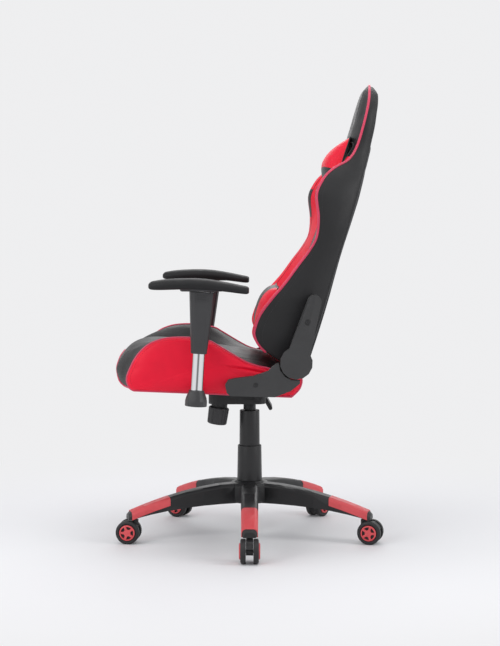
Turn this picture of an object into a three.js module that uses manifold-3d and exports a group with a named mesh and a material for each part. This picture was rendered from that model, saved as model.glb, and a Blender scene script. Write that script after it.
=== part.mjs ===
// Racing-style gaming rocker chair: five-star base on castors, gas lift, rocking mechanism,
// bucket seat, reclining back and height-adjustable armrests.
// Millimetres, +Z up. The origin is on the floor under the gas lift. The sitter faces -Y,
// and the sitter's left hand is on the +X side.
import * as THREE from "three";
import { mergeVertices } from "three/addons/utils/BufferGeometryUtils.js";
import Module from "manifold-3d";

const wasm = await Module();
wasm.setup();
const { degToRad } = THREE.MathUtils;

// Fits and smoothness
const gap = 0.3; // clearance between pieces that touch
const overrun = 4; // how far a cutting shape passes the face that it cuts
const roundSides = 16;
const smallRoundSides = 12;
const cornerSteps = 2; // an arc of an extruded outline has twice this many chords
const halfRoundSteps = 4;
const roundSteps = 7;
const tubeSteps = 3;
const legSteps = 6;
const saddleSteps = 3;
const seatMiddleSteps = 6;
const springStepsPerTurn = 8;
const hoopSteps = 32;
const fluteSides = 6;

// Castors
const wheelRadius = 32.5;
const wheelWidth = 14;
const wheelBulge = 3.4; // how far the hub cap stands out of the tread
const wheelLip = 2; // chamfer at the outer edge of the tread
const wheelShoulder = 5; // flat ring between the tread and the dish
const wheelSpacing = 19.6; // between the inner faces of a pair
const hubCapRadius = 21;
const capWindowInner = 8.5;
const capWindowOuter = 17;
const capWindowShoulder = 14.3; // where a window is widest
const capWindowDepth = 1.6;
const capWindowCount = 5;
const capWindowSpread = 19; // half angle of a window, in degrees
const axleRadius = 4;
const axleBite = 9; // how far the axle goes into each wheel
const castorTrail = 18;
const castorBossRadius = 11;
const hoodRadius = 30;
const hoodWall = 5;
const hoodFrom = 20; // the hood's arc over the wheels, in degrees above the rear
const hoodTo = 152;
const castorNeckRadius = 8.8;
const stemRadius = 5.5;
const stemLength = 21;
const stemPlay = 1; // between a castor's neck and the leg above it
const stemInset = 21; // from the tip of the leg
const castorYaw = [0, 0, 0, 24, -25]; // degrees from the leg, as the castors came to rest

// Five-star base
const legCount = 5;
const legReach = 346;
const legWidth = 49;
const legTipWidth = 42;
const legShoulder = 9;
const legWall = 4;
const legRootTop = 151;
const legTipTop = 86;
const legRootBottom = 97;
const legTipBottom = 66.5;
const legBow = 1.75; // how the leg curves down: 1 is straight
const legUndersideBow = 2.4;
const hubRadius = 57;
const hubNeckRadius = 37;
const hubTop = 156;
const hubRound = 7;
const ribSpacing = 78;
const ribThickness = 4;
const footPadLength = 106;
const footPadInset = 8; // from the tip of the leg
const footPadDrop = 22; // how far a pad reaches down the sides of its leg
const footPadThickness = 3;

// Gas lift
const cylinderRadius = 25;
const cylinderWall = 2;
const cylinderDrop = 24; // under the hub
const cylinderTopShare = 0.706; // of the way from the hub to the top of the upper cover
const cylinderTaper = 0.8; // narrowing of the seat in the hub
const pressureTubeRadius = 14;
const pressureTubeWall = 1.8;
const tubeBottomRise = 54; // over the floor of the cylinder
const tubeEntry = 23; // into the tilt housing
const rodRadius = 5;
const rodCollarRadius = 9;
const rodCollarHeight = 4;
const pistonHeight = 8;
const pistonRise = 56; // over the end of the pressure tube
const lowerCoverRadius = 34.3;
const lowerCoverTopRadius = 32.5;
const lowerCoverTopShare = 0.5; // of the same way as the cylinder's
const coverWall = 2.4;
const upperCoverRadius = 28.4;
const upperCoverTopRadius = 27.2;
const upperCoverBottomShare = 0.278;
const coverRoom = 2; // between the upper cover and the socket above it

// Rocking mechanism
const socketRadius = 17;
const socketLength = 20;
const housingDrop = 48; // under the seat
const housingWidth = 112;
const housingFront = 112; // from the column axis to the front edge
const housingRear = 44;
const housingHeight = 29;
const plateThickness = 3;
const tiltPinRadius = 6;
const tiltPinRear = 22; // behind the column axis
const tiltPinRise = 20; // over the bottom of the housing
const springCupRadius = 22;
const springCupHeight = 27;
const springCupFront = 82;
const springLean = 8; // degrees, the knob swings forward
const springRadius = 14;
const springWireRadius = 2.4;
const springTurns = 4;
const knobRadius = 28.5;
const knobHeight = 48;
const knobFlutes = 12;
const knobFluteRadius = 3;
const boltRadius = 5;
const tiltPlateWidth = 190;
const tiltPlateFront = 120;
const tiltPlateRear = 100;
const tiltFlangeLength = 50;
const leverRodRadius = 4;
const leverPlay = 1.2; // room for the rod to swing in the side of the box
const leverRodReach = 172;
const leverRear = 34;
const leverRise = 7; // over the bottom of the housing
const leverPaddleLength = 64;
const leverPaddleThickness = 11;
const leverPaddleWidth = 68;
const leverDroop = 61; // degrees that the paddle hangs down

// Seat
const seatHeight = 420; // underside of the seat over the column axis
const seatRake = 2.3; // degrees, front edge up
const seatHalfWidth = 262;
const seatFront = 357; // column axis to the front edge in the middle
const seatSideFront = 319;
const seatRear = 131;
const seatCrest = 142; // height of the side bolsters
const seatCrown = 116; // height of the middle cushion
const seatMiddleHalfWidth = 150;
const seatSag = 9; // how far the seam lies under the middle's crown
const seatTuckShare = 0.022; // by which the outermost outline is drawn in
const seatCentreShare = 0.5; // of the length, where it is drawn in to
const seatTopShare = 0.5; // of the height, over which the outline is the top face
const seatFrameInset = 37; // from the side of the seat
const seatFrameFront = 285;
const seatFrameRear = 100;
const seatTube = 22;
const seatTubeHeight = 18;
const seatFrameCorner = 45;
const seatRailWidth = 30;

// Recline hinge
const pivotRear = 120;
const hingeRise = 87; // of the hinge over the underside of the seat
const hingePlate = 5;
const hingeRoom = 4; // side of the seat to the inner face of its hinge plate
const earRadius = 18;
const earRear = 38;
const hingePinRadius = 8;
const hingePinHead = 4;
const hingeCoverWall = 2.5;
const seatCoverDepth = 24;
const seatCoverFront = 64;
const seatCoverLength = 192;
const seatCoverHeight = 92;
const seatCoverScrewShares = [0.42, 0.34];
const backCoverDepth = 19;
const lobeRadius = 42;
const lobeClearance = 3.5;
const backArmRadius = 11;
const backArmLength = 150;
const backCoverTopLength = 163;
const backCoverTopRadius = 18;
const backCoverRootRadius = 30.2;
const backCoverScrewHeight = 104;
const coverScrewRadius = 5;
const coverScrewDepth = 1.2;
const reclineLeverReach = 112;
const reclineLeverRadius = 11;
const reclineLeverHub = 17;
const reclineLeverThickness = 8;
const reclineLeverDroop = 14; // degrees under the horizontal

// Back
const backLean = 15.2; // degrees from upright
const backLength = 753; // hinge axis to the top
const backSideRoom = 8; // side of the back to the inner face of the hinge plate
const backWingReach = 132; // hinge line to the foremost point of the wings
const backRearDepth = 52; // hinge line to the rear face
const backValley = 5; // depth of the seam between middle and wing
const slotInner = 88;
const slotOuter = 124;
const slotBottomShare = 0.701; // of the back's length, as are the heights of the hoop
const slotTopShare = 0.797;
const slotCorner = 12;
const hoopTubeRadius = 9;
const hoopInset = 53; // from the side of the back
const hoopNeckHalfWidth = 60;
const hoopBottom = 20;
const hoopShoulderShare = 0.531;
const hoopNeckShare = 0.697;
const hoopTopShare = 0.95;
const hoopRear = 14;
const hoopCrossbar = 60;

// Pillows
const neckPillowHalfWidth = 124;
const neckPillowBottomShare = 0.584; // of the back's length
const neckPillowHeight = 164;
const neckPillowFront = 61;
const neckPillowDepth = 42;
const lumbarPillowHalfWidth = 150;
const lumbarPillowBottom = 16;
const lumbarPillowTop = 172;
const lumbarPillowFront = 132;
const lumbarPillowDepth = 80;

// Armrests
const armRoom = 51; // inner face of the hinge plate to the middle of an armrest
const armFootFront = 136;
const armFootDrop = 24.5; // foot of the armrest under the seat's underside
const armLean = 1.2; // degrees rearwards, against the seat
const armFootRadius = 28;
const armFootNeckRadius = 19;
const armFootHeight = 40;
const armFootWall = 2.5;
const armTubeWidth = 31;
const armTubeThickness = 20;
const armTubeTop = 212;
const sleeveRoof = 5;
const armBarWidth = 38;
const armBarThickness = 8;
const armBarInner = 150;
const sleeveBottom = 134;
const sleeveTop = 290;
const sleeveBottomWidth = 41;
const sleeveTopWidth = 66;
const sleeveBottomThickness = 31;
const sleeveTopThickness = 44;
const sleeveLip = 1.3;
const sleeveCornerShare = 0.32; // of the thickness, taken by the corners
const sleeveBiteShare = 0.3; // of a corner, taken at its middle
const buttonWidth = 30;
const buttonHeight = 18;
const buttonDepth = 4;
const buttonTravel = 3;
const buttonProud = 2.2;
const buttonTop = 286;
const buttonRibs = 3;
const buttonGrooveShare = 0.34; // of the pitch of the ribs
const padLength = 255;
const padWidth = 90;
const padThickness = 27;
const padFrontReach = 137; // sleeve axis to the front tip
const padPlateFront = 58;
const padPlateRear = 62;
const padPlateThickness = 7;
const padPlateSink = 9; // into the pad
const padPlateWidth = 60;

const paint = {
  blackPlastic: new THREE.MeshStandardMaterial({ color: 0x232325, roughness: 0.55, metalness: 0 }),
  greyPlastic: new THREE.MeshStandardMaterial({ color: 0x3d3d3f, roughness: 0.6, metalness: 0 }),
  redPlastic: new THREE.MeshStandardMaterial({ color: 0xc8424c, roughness: 0.5, metalness: 0 }),
  blackSteel: new THREE.MeshStandardMaterial({ color: 0x1c1c1e, roughness: 0.45, metalness: 0.6 }),
  chrome: new THREE.MeshStandardMaterial({ color: 0xe2e4e6, roughness: 0.12, metalness: 1 }),
  zinc: new THREE.MeshStandardMaterial({ color: 0xa5a8ab, roughness: 0.35, metalness: 0.9 }),
  tyre: new THREE.MeshStandardMaterial({ color: 0x303032, roughness: 0.7, metalness: 0 }),
  softPad: new THREE.MeshStandardMaterial({ color: 0x2b2b2d, roughness: 0.65, metalness: 0 }),
  blackLeather: new THREE.MeshStandardMaterial({ color: 0x262627, roughness: 0.5, metalness: 0 }),
  redLeather: new THREE.MeshStandardMaterial({ color: 0xe01432, roughness: 0.45, metalness: 0 }),
};

// A closed geometry as a solid for joining and cutting
function solidOf(geometry) {
  const bare = geometry.clone();
  bare.deleteAttribute("normal");
  bare.deleteAttribute("uv");
  const merged = mergeVertices(bare);
  const vertProperties = new Float32Array(merged.attributes.position.array);
  const triVerts = new Uint32Array(merged.index.array);
  return new wasm.Manifold(new wasm.Mesh({ numProp: 3, vertProperties, triVerts }));
}

function geometryOf(solid) {
  const mesh = solid.getMesh();
  const geometry = new THREE.BufferGeometry();
  geometry.setAttribute("position", new THREE.BufferAttribute(mesh.vertProperties, 3));
  geometry.setIndex(new THREE.BufferAttribute(mesh.triVerts, 1));
  return geometry;
}

function fuse(first, ...others) {
  return geometryOf(others.reduce((whole, piece) => whole.add(solidOf(piece)), solidOf(first)));
}

function cut(body, ...tools) {
  return geometryOf(tools.reduce((rest, tool) => rest.subtract(solidOf(tool)), solidOf(body)));
}

// The same piece for the other side of the chair
function mirrored(geometry) {
  const copy = geometryOf(solidOf(geometry));
  copy.scale(-1, 1, 1);
  const corners = copy.index.array;
  for (let i = 0; i < corners.length; i += 3) {
    [corners[i], corners[i + 1]] = [corners[i + 1], corners[i]];
  }
  return copy;
}

function signedArea(points) {
  return THREE.ShapeUtils.area(points);
}

// A skin over closed rings, each a list of flat points that place() puts in space
function loft(rings, place) {
  const count = rings[0].length;
  const vertices = rings.flatMap((ring, at) => ring.flatMap((point) => place(at, point)));
  const triangles = [];
  for (let at = 0; at + 1 < rings.length; at += 1) {
    for (let j = 0; j < count; j += 1) {
      const next = (j + 1) % count;
      const [a, b] = [at * count + j, at * count + next];
      triangles.push(a, b, b + count, a, b + count, a + count);
    }
  }
  for (const [ring, start, forward] of [
    [rings[0], 0, false],
    [rings.at(-1), (rings.length - 1) * count, true],
  ]) {
    const flat = ring.map(([x, y]) => new THREE.Vector2(x, y));
    const turn = Math.sign(signedArea(flat));
    for (const face of THREE.ShapeUtils.triangulateShape(flat, [])) {
      const same = Math.sign(signedArea(face.map((corner) => flat[corner]))) === turn;
      const order = same === forward ? face : [face[0], face[2], face[1]];
      triangles.push(...order.map((corner) => start + corner));
    }
  }
  const geometry = new THREE.BufferGeometry();
  geometry.setAttribute("position", new THREE.Float32BufferAttribute(vertices, 3));
  geometry.setIndex(triangles);
  return facingOut(geometry);
}

// Turns every triangle over where the skin was wound inside out
function facingOut(geometry) {
  const corners = geometry.index.array;
  const [a, b, c] = [new THREE.Vector3(), new THREE.Vector3(), new THREE.Vector3()];
  const at = geometry.attributes.position;
  let volume = 0;
  for (let i = 0; i < corners.length; i += 3) {
    a.fromBufferAttribute(at, corners[i]);
    b.fromBufferAttribute(at, corners[i + 1]);
    c.fromBufferAttribute(at, corners[i + 2]);
    volume += a.dot(b.cross(c));
  }
  if (volume < 0) {
    for (let i = 0; i < corners.length; i += 3) {
      [corners[i], corners[i + 1]] = [corners[i + 1], corners[i]];
    }
  }
  return geometry;
}

// Outlines
function outlineOf(points) {
  return new THREE.Shape(points.map(([x, y]) => new THREE.Vector2(x, y)));
}

function roundedRectangle(left, bottom, right, top, corner) {
  const shape = new THREE.Shape();
  shape.moveTo(left + corner, bottom);
  shape.lineTo(right - corner, bottom);
  shape.absarc(right - corner, bottom + corner, corner, -Math.PI / 2, 0, false);
  shape.lineTo(right, top - corner);
  shape.absarc(right - corner, top - corner, corner, 0, Math.PI / 2, false);
  shape.lineTo(left + corner, top);
  shape.absarc(left + corner, top - corner, corner, Math.PI / 2, Math.PI, false);
  shape.lineTo(left, bottom + corner);
  shape.absarc(left + corner, bottom + corner, corner, Math.PI, 1.5 * Math.PI, false);
  return shape;
}

// Two circles and the straight sides that join them
function linkOutline([ax, ay], aRadius, [bx, by], bRadius) {
  const along = Math.atan2(by - ay, bx - ax);
  const span = Math.hypot(bx - ax, by - ay);
  const lean = Math.acos((aRadius - bRadius) / span);
  const shape = new THREE.Shape();
  shape.absarc(ax, ay, aRadius, along + lean, along - lean + 2 * Math.PI, false);
  shape.absarc(bx, by, bRadius, along - lean, along + lean, false);
  return shape;
}

function circleOutline(x, y, radius) {
  const shape = new THREE.Shape();
  shape.absarc(x, y, radius, 0, 2 * Math.PI, false);
  return shape;
}

// Extrusions: upright along Z, or across along X with the outline drawn in Y and Z
function upright(shape, bottom, top, curveSegments = cornerSteps) {
  const options = { depth: top - bottom, bevelEnabled: false, curveSegments };
  return new THREE.ExtrudeGeometry(shape, options).translate(0, 0, bottom);
}

const acrossTurn = new THREE.Matrix4().makeBasis(
  new THREE.Vector3(0, 1, 0),
  new THREE.Vector3(0, 0, 1),
  new THREE.Vector3(1, 0, 0),
);

function across(shape, from, to, curveSegments = cornerSteps) {
  return upright(shape, from, to, curveSegments).applyMatrix4(acrossTurn);
}

function block(x0, y0, z0, x1, y1, z1) {
  const box = new THREE.BoxGeometry(x1 - x0, y1 - y0, z1 - z0);
  return box.translate((x0 + x1) / 2, (y0 + y1) / 2, (z0 + z1) / 2);
}

// A body turned round Z from radius and height pairs
function turned(profile, sides = roundSides, start = 0) {
  const points = profile.map(([radius, height]) => new THREE.Vector2(radius, height));
  const lathe = new THREE.LatheGeometry(points, sides, start);
  lathe.rotateX(Math.PI / 2);
  return facingOut(geometryWithIndex(lathe));
}

function geometryWithIndex(geometry) {
  geometry.deleteAttribute("normal");
  geometry.deleteAttribute("uv");
  return mergeVertices(geometry);
}

function rod(radius, bottom, top, sides = smallRoundSides) {
  return turned([[0, bottom], [radius, bottom], [radius, top], [0, top]], sides);
}

function rodAcross(radius, from, to, y, z, sides = smallRoundSides) {
  return rod(radius, from, to, sides).applyMatrix4(acrossTurn).translate(0, y, z);
}

// A smooth value between the rows of a table, whose first column rises
function follow(rows, column, at) {
  const last = rows.length - 1;
  let i = 0;
  while (i < last - 1 && rows[i + 1][0] < at) {
    i += 1;
  }
  const slope = (k) => {
    const [before, after] = [rows[Math.max(k - 1, 0)], rows[Math.min(k + 1, last)]];
    return (after[column] - before[column]) / (after[0] - before[0]);
  };
  const width = rows[i + 1][0] - rows[i][0];
  const t = (at - rows[i][0]) / width;
  const [from, to] = [rows[i][column], rows[i + 1][column]];
  const ease = t * t * (3 - 2 * t);
  const leave = t * (1 - t) * (1 - t) * width * slope(i);
  const arrive = t * t * (t - 1) * width * slope(i + 1);
  return from + (to - from) * ease + leave + arrive;
}

function mix(from, to, share) {
  return from + (to - from) * share;
}

const chair = new THREE.Group();

function add(parent, name, geometry, material) {
  const mesh = new THREE.Mesh(geometry, material);
  mesh.name = name;
  parent.add(mesh);
  return mesh;
}

// Heights and places that several pieces share
const wheelCentre = wheelRadius * Math.cos(Math.PI / roundSides);
const castorNeckTop = legTipBottom - stemPlay;
const castorCircle = legReach - stemInset;
const legStart = (cylinderRadius + hubRadius) / 2;
const footPadStart = legReach - footPadInset - footPadLength;
const housingBottom = seatHeight - housingDrop;
const socketBottom = housingBottom - socketLength;
const tiltPinHeight = housingBottom + tiltPinRise;
const leverHeight = housingBottom + leverRise;
const upperCoverTop = socketBottom - coverRoom;
const upperCoverBottom = mix(hubTop, upperCoverTop, upperCoverBottomShare);
const lowerCoverTop = mix(hubTop, upperCoverTop, lowerCoverTopShare);
const cylinderBottom = legRootBottom - cylinderDrop;
const cylinderTop = mix(hubTop, upperCoverTop, cylinderTopShare);
const pressureTubeBottom = cylinderBottom + tubeBottomRise;
const pressureTubeTop = housingBottom + tubeEntry;
const pistonSeat = pressureTubeBottom + pistonRise;
const pivotHeight = seatHeight + hingeRise;
const seatFrameHalfWidth = seatHalfWidth - seatFrameInset;
const hingeInner = seatHalfWidth + hingeRoom; // column axis to the seat's hinge plate
const backHalfWidth = hingeInner - backSideRoom;
const hoopHalfWidth = backHalfWidth - hoopInset;
const armOffset = hingeInner + armRoom; // column axis to the middle of an armrest
const slotBottom = slotBottomShare * backLength;
const slotTop = slotTopShare * backLength;
const hoopShoulder = hoopShoulderShare * backLength;
const hoopNeck = hoopNeckShare * backLength;
const hoopTop = hoopTopShare * backLength;
const neckPillowBottom = neckPillowBottomShare * backLength;
const farSide = 2 * seatHalfWidth; // past both sides of the chair

// Five-star base: each leg is a channel that is open underneath, with cross ribs
function legLevel(root, tip, bow, r) {
  const share = Math.max(0, (r - legStart) / (legReach - legStart));
  return root - (root - tip) * share ** bow;
}

function legTop(r) {
  return legLevel(legRootTop, legTipTop, legBow, r);
}

function legUnderside(r) {
  return legLevel(legRootBottom, legTipBottom, legUndersideBow, r);
}

function legHalfWidth(r) {
  return mix(legWidth, legTipWidth, r / legReach) / 2;
}

function legRing(r, inset, bottom) {
  const half = legHalfWidth(r) - inset;
  const top = legTop(r) - inset;
  const step = legShoulder / 3;
  return [
    [-half, bottom],
    [half, bottom],
    [half, top - legShoulder],
    [half - step, top - step],
    [half - legShoulder, top],
    [legShoulder - half, top],
    [step - half, top - step],
    [-half, top - legShoulder],
  ];
}

function alongLeg(stations) {
  return (at, [y, z]) => [stations[at], y, z];
}

function evenly(from, to, steps) {
  return Array.from({ length: steps + 1 }, (_, i) => mix(from, to, i / steps));
}

// A saddle over the top of the leg, between two insets from its skin
function saddle(from, to, outer, inner, drop) {
  const stations = evenly(from, to, saddleSteps);
  const rings = stations.map((r) => {
    const low = legTop(r) - drop;
    const [, , ...outside] = legRing(r, outer, low);
    const [, , ...inside] = legRing(r, inner, low);
    const outerHalf = legHalfWidth(r) - outer;
    const innerHalf = legHalfWidth(r) - inner;
    return [
      [outerHalf, low],
      ...outside,
      [-outerHalf, low],
      [-innerHalf, low],
      ...inside.reverse(),
      [innerHalf, low],
    ];
  });
  return loft(rings, alongLeg(stations));
}

function legGeometry() {
  const tipRound = legTipWidth / 4;
  const stations = [...evenly(legStart, legReach - tipRound, legSteps), legReach];
  const rings = stations.map((r) => {
    const inset = r === legReach ? tipRound / 2 : 0;
    return legRing(r, inset, legUnderside(r));
  });
  const padSpace = saddle(
    footPadStart - gap,
    footPadStart + footPadLength + gap,
    -overrun,
    footPadThickness + gap,
    footPadDrop + gap,
  );
  const stemBore = rod(stemRadius + gap, 0, legTipBottom + stemLength + gap);
  return cut(
    loft(rings, alongLeg(stations)),
    padSpace,
    stemBore.translate(castorCircle, 0, 0),
    ...legPockets(),
  );
}

function legPockets() {
  const pockets = [];
  const last = castorCircle - 2 * stemRadius - legWall;
  for (let from = hubRadius + legWall; from < last; from += ribSpacing) {
    const to = Math.min(from + ribSpacing - ribThickness, last);
    const stations = evenly(from, to, 1);
    const rings = stations.map((r) => {
      const half = legHalfWidth(r) - legWall - footPadThickness;
      const top = legTop(r) - legShoulder;
      return [[-half, 0], [half, 0], [half, top], [-half, top]];
    });
    pockets.push(loft(rings, alongLeg(stations)));
  }
  return pockets;
}

function hubGeometry() {
  const boreTop = cylinderRadius + gap;
  return turned([
    [boreTop - cylinderTaper, legRootBottom],
    [hubRadius - hubRound, legRootBottom],
    [hubRadius, legRootBottom + hubRound],
    [hubRadius, legRootTop - hubRound],
    [hubRadius - hubRound, legRootTop],
    [hubNeckRadius + hubRound, legRootTop],
    [hubNeckRadius, hubTop],
    [boreTop, hubTop],
    [boreTop - cylinderTaper, legRootBottom],
  ]);
}

const baseGroup = new THREE.Group();
chair.add(baseGroup);

function buildBase() {
  const leg = legGeometry();
  const legs = evenly(0, 2 * Math.PI, legCount).slice(0, legCount);
  const arms = legs.map((angle) => leg.clone().rotateZ(angle));
  add(baseGroup, "base_star", fuse(hubGeometry(), ...arms), paint.blackPlastic);
  const pad = saddle(
    footPadStart,
    footPadStart + footPadLength,
    -gap,
    footPadThickness,
    footPadDrop,
  );
  legs.forEach((angle, k) => {
    const mesh = add(baseGroup, `foot_pad_${k + 1}`, pad, paint.redPlastic);
    mesh.rotation.z = angle;
  });
}

// Castors: a twin-wheel unit that trails behind its stem, turned as it came to rest
function wheelGeometry() {
  const wheel = turned(
    [
      [0, axleBite],
      [axleRadius + gap, axleBite],
      [axleRadius + gap, 0],
      [wheelRadius, 0],
      [wheelRadius, wheelWidth - wheelLip],
      [wheelRadius - wheelShoulder, wheelWidth],
      [hubCapRadius, wheelWidth],
      [hubCapRadius - wheelLip, wheelWidth + wheelBulge],
      [0, wheelWidth + wheelBulge],
    ],
    roundSides,
    Math.PI / roundSides,
  );
  const spread = degToRad(capWindowSpread);
  const windows = evenly(0, 2 * Math.PI, capWindowCount).slice(0, capWindowCount);
  const face = wheelWidth + wheelBulge;
  const tools = windows.map((angle) => {
    const corner = (radius, turn) => [
      radius * Math.cos(angle + turn),
      radius * Math.sin(angle + turn),
    ];
    const window = outlineOf([
      corner(capWindowInner, 0),
      corner(capWindowShoulder, -spread),
      corner(capWindowOuter, -spread / 2),
      corner(capWindowOuter, spread / 2),
      corner(capWindowShoulder, spread),
    ]);
    return upright(window, face - capWindowDepth, face + overrun);
  });
  return cut(wheel, ...tools);
}

function castorForkGeometry() {
  const half = wheelSpacing / 2 - 2 * gap;
  const centre = [castorTrail, wheelCentre];
  const hood = new THREE.Shape();
  const [hoodStart, hoodEnd] = [degToRad(hoodFrom), degToRad(hoodTo)];
  hood.absarc(...centre, hoodRadius, hoodStart, hoodEnd, false);
  hood.absarc(...centre, hoodRadius - hoodWall, hoodEnd, hoodStart, true);
  const web = outlineOf([
    [castorTrail + castorBossRadius / 2, wheelCentre],
    [castorTrail + hoodWall, wheelCentre + hoodRadius - hoodWall / 2],
    [-castorNeckRadius / 2, wheelCentre + hoodRadius - hoodWall],
    [castorTrail - castorBossRadius, wheelCentre],
  ]);
  const sideways = (shape) => upright(shape, -half, half, tubeSteps).rotateX(Math.PI / 2);
  const boss = rod(castorBossRadius, -half, half).rotateX(Math.PI / 2);
  const collar = stemRadius + stemPlay / 2;
  const stem = turned(
    [
      [0, wheelCentre],
      [castorNeckRadius, wheelCentre],
      [castorNeckRadius, castorNeckTop],
      [stemRadius, castorNeckTop],
      [stemRadius, legTipBottom + stemLength - stemPlay],
      [stemRadius - stemPlay, legTipBottom + stemLength],
      [0, legTipBottom + stemLength],
    ],
    smallRoundSides,
  );
  const throat = wheelCentre + hoodRadius - 2 * collar;
  const bore = rod(axleRadius + gap, -half - overrun, half + overrun).rotateX(Math.PI / 2);
  const solid = fuse(
    sideways(hood),
    sideways(web),
    boss.translate(castorTrail, 0, wheelCentre),
    cut(stem, block(-hoodRadius, -hoodRadius, 0, hoodRadius, hoodRadius, throat)),
  );
  return cut(solid, bore.translate(castorTrail, 0, wheelCentre));
}

function castorAxleGeometry() {
  const half = wheelSpacing / 2 + axleBite - gap;
  const axle = rod(axleRadius, -half, half).rotateX(Math.PI / 2);
  return axle.translate(castorTrail, 0, wheelCentre);
}

function buildCastors() {
  const wheel = wheelGeometry().rotateX(-Math.PI / 2);
  const otherWheel = wheel.clone().rotateZ(Math.PI);
  const fork = castorForkGeometry();
  const axle = castorAxleGeometry();
  castorYaw.forEach((yaw, k) => {
    const angle = (2 * Math.PI * k) / legCount;
    const castor = new THREE.Group();
    castor.position.set(castorCircle * Math.cos(angle), castorCircle * Math.sin(angle), 0);
    castor.rotation.z = angle + degToRad(yaw);
    baseGroup.add(castor);
    const name = `castor_${k + 1}`;
    add(castor, `${name}_fork`, fork, paint.blackPlastic);
    add(castor, `${name}_axle`, axle, paint.zinc);
    const left = add(castor, `${name}_wheel_left`, wheel, paint.tyre);
    left.position.set(castorTrail, wheelSpacing / 2, wheelCentre);
    const right = add(castor, `${name}_wheel_right`, otherWheel, paint.tyre);
    right.position.set(castorTrail, -wheelSpacing / 2, wheelCentre);
  });
}

// Gas lift: outer cylinder in the hub, rod on its floor, pressure tube that rises over the rod
function buildGasLift() {
  const bush = pressureTubeRadius + gap;
  const inner = cylinderRadius - cylinderWall;
  const bushDepth = 3 * cylinderWall;
  const floor = cylinderBottom + cylinderWall;
  const cylinder = turned([
    [rodRadius + gap, cylinderBottom],
    [cylinderRadius - cylinderTaper, cylinderBottom],
    [cylinderRadius - cylinderTaper, legRootBottom],
    [cylinderRadius, hubTop],
    [cylinderRadius, cylinderTop],
    [bush, cylinderTop],
    [bush, cylinderTop - bushDepth],
    [inner, cylinderTop - bushDepth],
    [inner, floor + cylinderWall],
    [inner - cylinderTaper, floor],
    [rodRadius + gap, floor],
    [rodRadius + gap, cylinderBottom],
  ]);
  add(baseGroup, "gas_cylinder", cylinder, paint.blackSteel);

  const bore = pressureTubeRadius - pressureTubeWall;
  const pistonRadius = bore - gap;
  const underside = cylinderBottom - gap;
  const piston = turned(
    [
      [0, underside - rodCollarHeight],
      [rodCollarRadius, underside - rodCollarHeight],
      [rodCollarRadius, underside],
      [rodRadius, underside],
      [rodRadius, pistonSeat],
      [pistonRadius, pistonSeat],
      [pistonRadius, pistonSeat + pistonHeight],
      [0, pistonSeat + pistonHeight],
    ],
    roundSides,
  );
  add(chair, "gas_piston_rod", piston, paint.zinc);

  const sealTop = pressureTubeBottom + 3 * pressureTubeWall;
  const tube = turned([
    [rodRadius + gap, pressureTubeBottom],
    [pressureTubeRadius, pressureTubeBottom],
    [pressureTubeRadius, socketBottom],
    [pressureTubeRadius - gap, pressureTubeTop],
    [0, pressureTubeTop],
    [0, pressureTubeTop - 3 * pressureTubeWall],
    [bore, pressureTubeTop - 3 * pressureTubeWall],
    [bore, sealTop],
    [rodRadius + gap, sealTop],
    [rodRadius + gap, pressureTubeBottom],
  ]);
  add(chair, "gas_pressure_tube", tube, paint.blackSteel);
  buildColumnCovers();
}

function buildColumnCovers() {
  const lowerBottom = hubTop + gap;
  const lower = turned([
    [lowerCoverRadius - coverWall, lowerBottom],
    [lowerCoverRadius, lowerBottom],
    [lowerCoverTopRadius, lowerCoverTop],
    [lowerCoverTopRadius - coverWall, lowerCoverTop],
    [lowerCoverRadius - coverWall, lowerBottom],
  ]);
  add(baseGroup, "column_cover_lower", lower, paint.blackPlastic);

  const wall = upperCoverRadius - cylinderRadius - 2 * gap;
  const collar = pressureTubeRadius + gap;
  const upper = turned([
    [upperCoverRadius - wall, upperCoverBottom],
    [upperCoverRadius, upperCoverBottom],
    [upperCoverTopRadius, upperCoverTop],
    [collar, upperCoverTop],
    [collar, upperCoverTop - coverWall],
    [upperCoverTopRadius - coverWall / 2, upperCoverTop - coverWall],
    [upperCoverRadius - wall, cylinderTop],
    [upperCoverRadius - wall, upperCoverBottom],
  ]);
  add(chair, "column_cover_upper", upper, paint.blackPlastic);
}

// Rocking mechanism: a pressed box on the gas lift, the cross pin that the seat rocks on,
// and the spring with its tension knob in front
const springPlace = new THREE.Matrix4()
  .makeRotationX(degToRad(-springLean))
  .setPosition(0, -springCupFront, housingBottom);

function tiltHousingGeometry() {
  const half = housingWidth / 2;
  const top = housingBottom + housingHeight;
  const shell = upright(
    roundedRectangle(-half, -housingFront, half, housingRear, springCupRadius),
    housingBottom,
    top,
  );
  const inner = half - plateThickness;
  const room = upright(
    roundedRectangle(
      -inner,
      plateThickness - housingFront,
      inner,
      housingRear - plateThickness,
      springCupRadius - plateThickness,
    ),
    housingBottom + plateThickness,
    top + overrun,
  );
  const socket = rod(socketRadius, socketBottom, housingBottom + 2 * plateThickness, roundSides);
  const cup = rod(springCupRadius, -springCupHeight / 2, plateThickness, roundSides);
  const cupRoom = rod(
    springCupRadius - plateThickness,
    -springCupHeight,
    springCupHeight / 2,
    roundSides,
  );
  const pinBore = rodAcross(
    tiltPinRadius + gap,
    -half - overrun,
    half + overrun,
    tiltPinRear,
    tiltPinHeight,
  );
  const tubeBore = rod(pressureTubeRadius + gap, 0, pressureTubeTop + overrun, roundSides);
  const slot = leverRodRadius + gap;
  const leverSlot = block(
    -half - overrun,
    leverRear - slot,
    leverHeight - slot - leverPlay,
    0,
    leverRear + slot,
    leverHeight + slot + leverPlay,
  );
  const box = fuse(cut(shell, room), socket, cup.applyMatrix4(springPlace));
  return cut(box, tubeBore, pinBore, leverSlot, cupRoom.applyMatrix4(springPlace));
}

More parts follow.
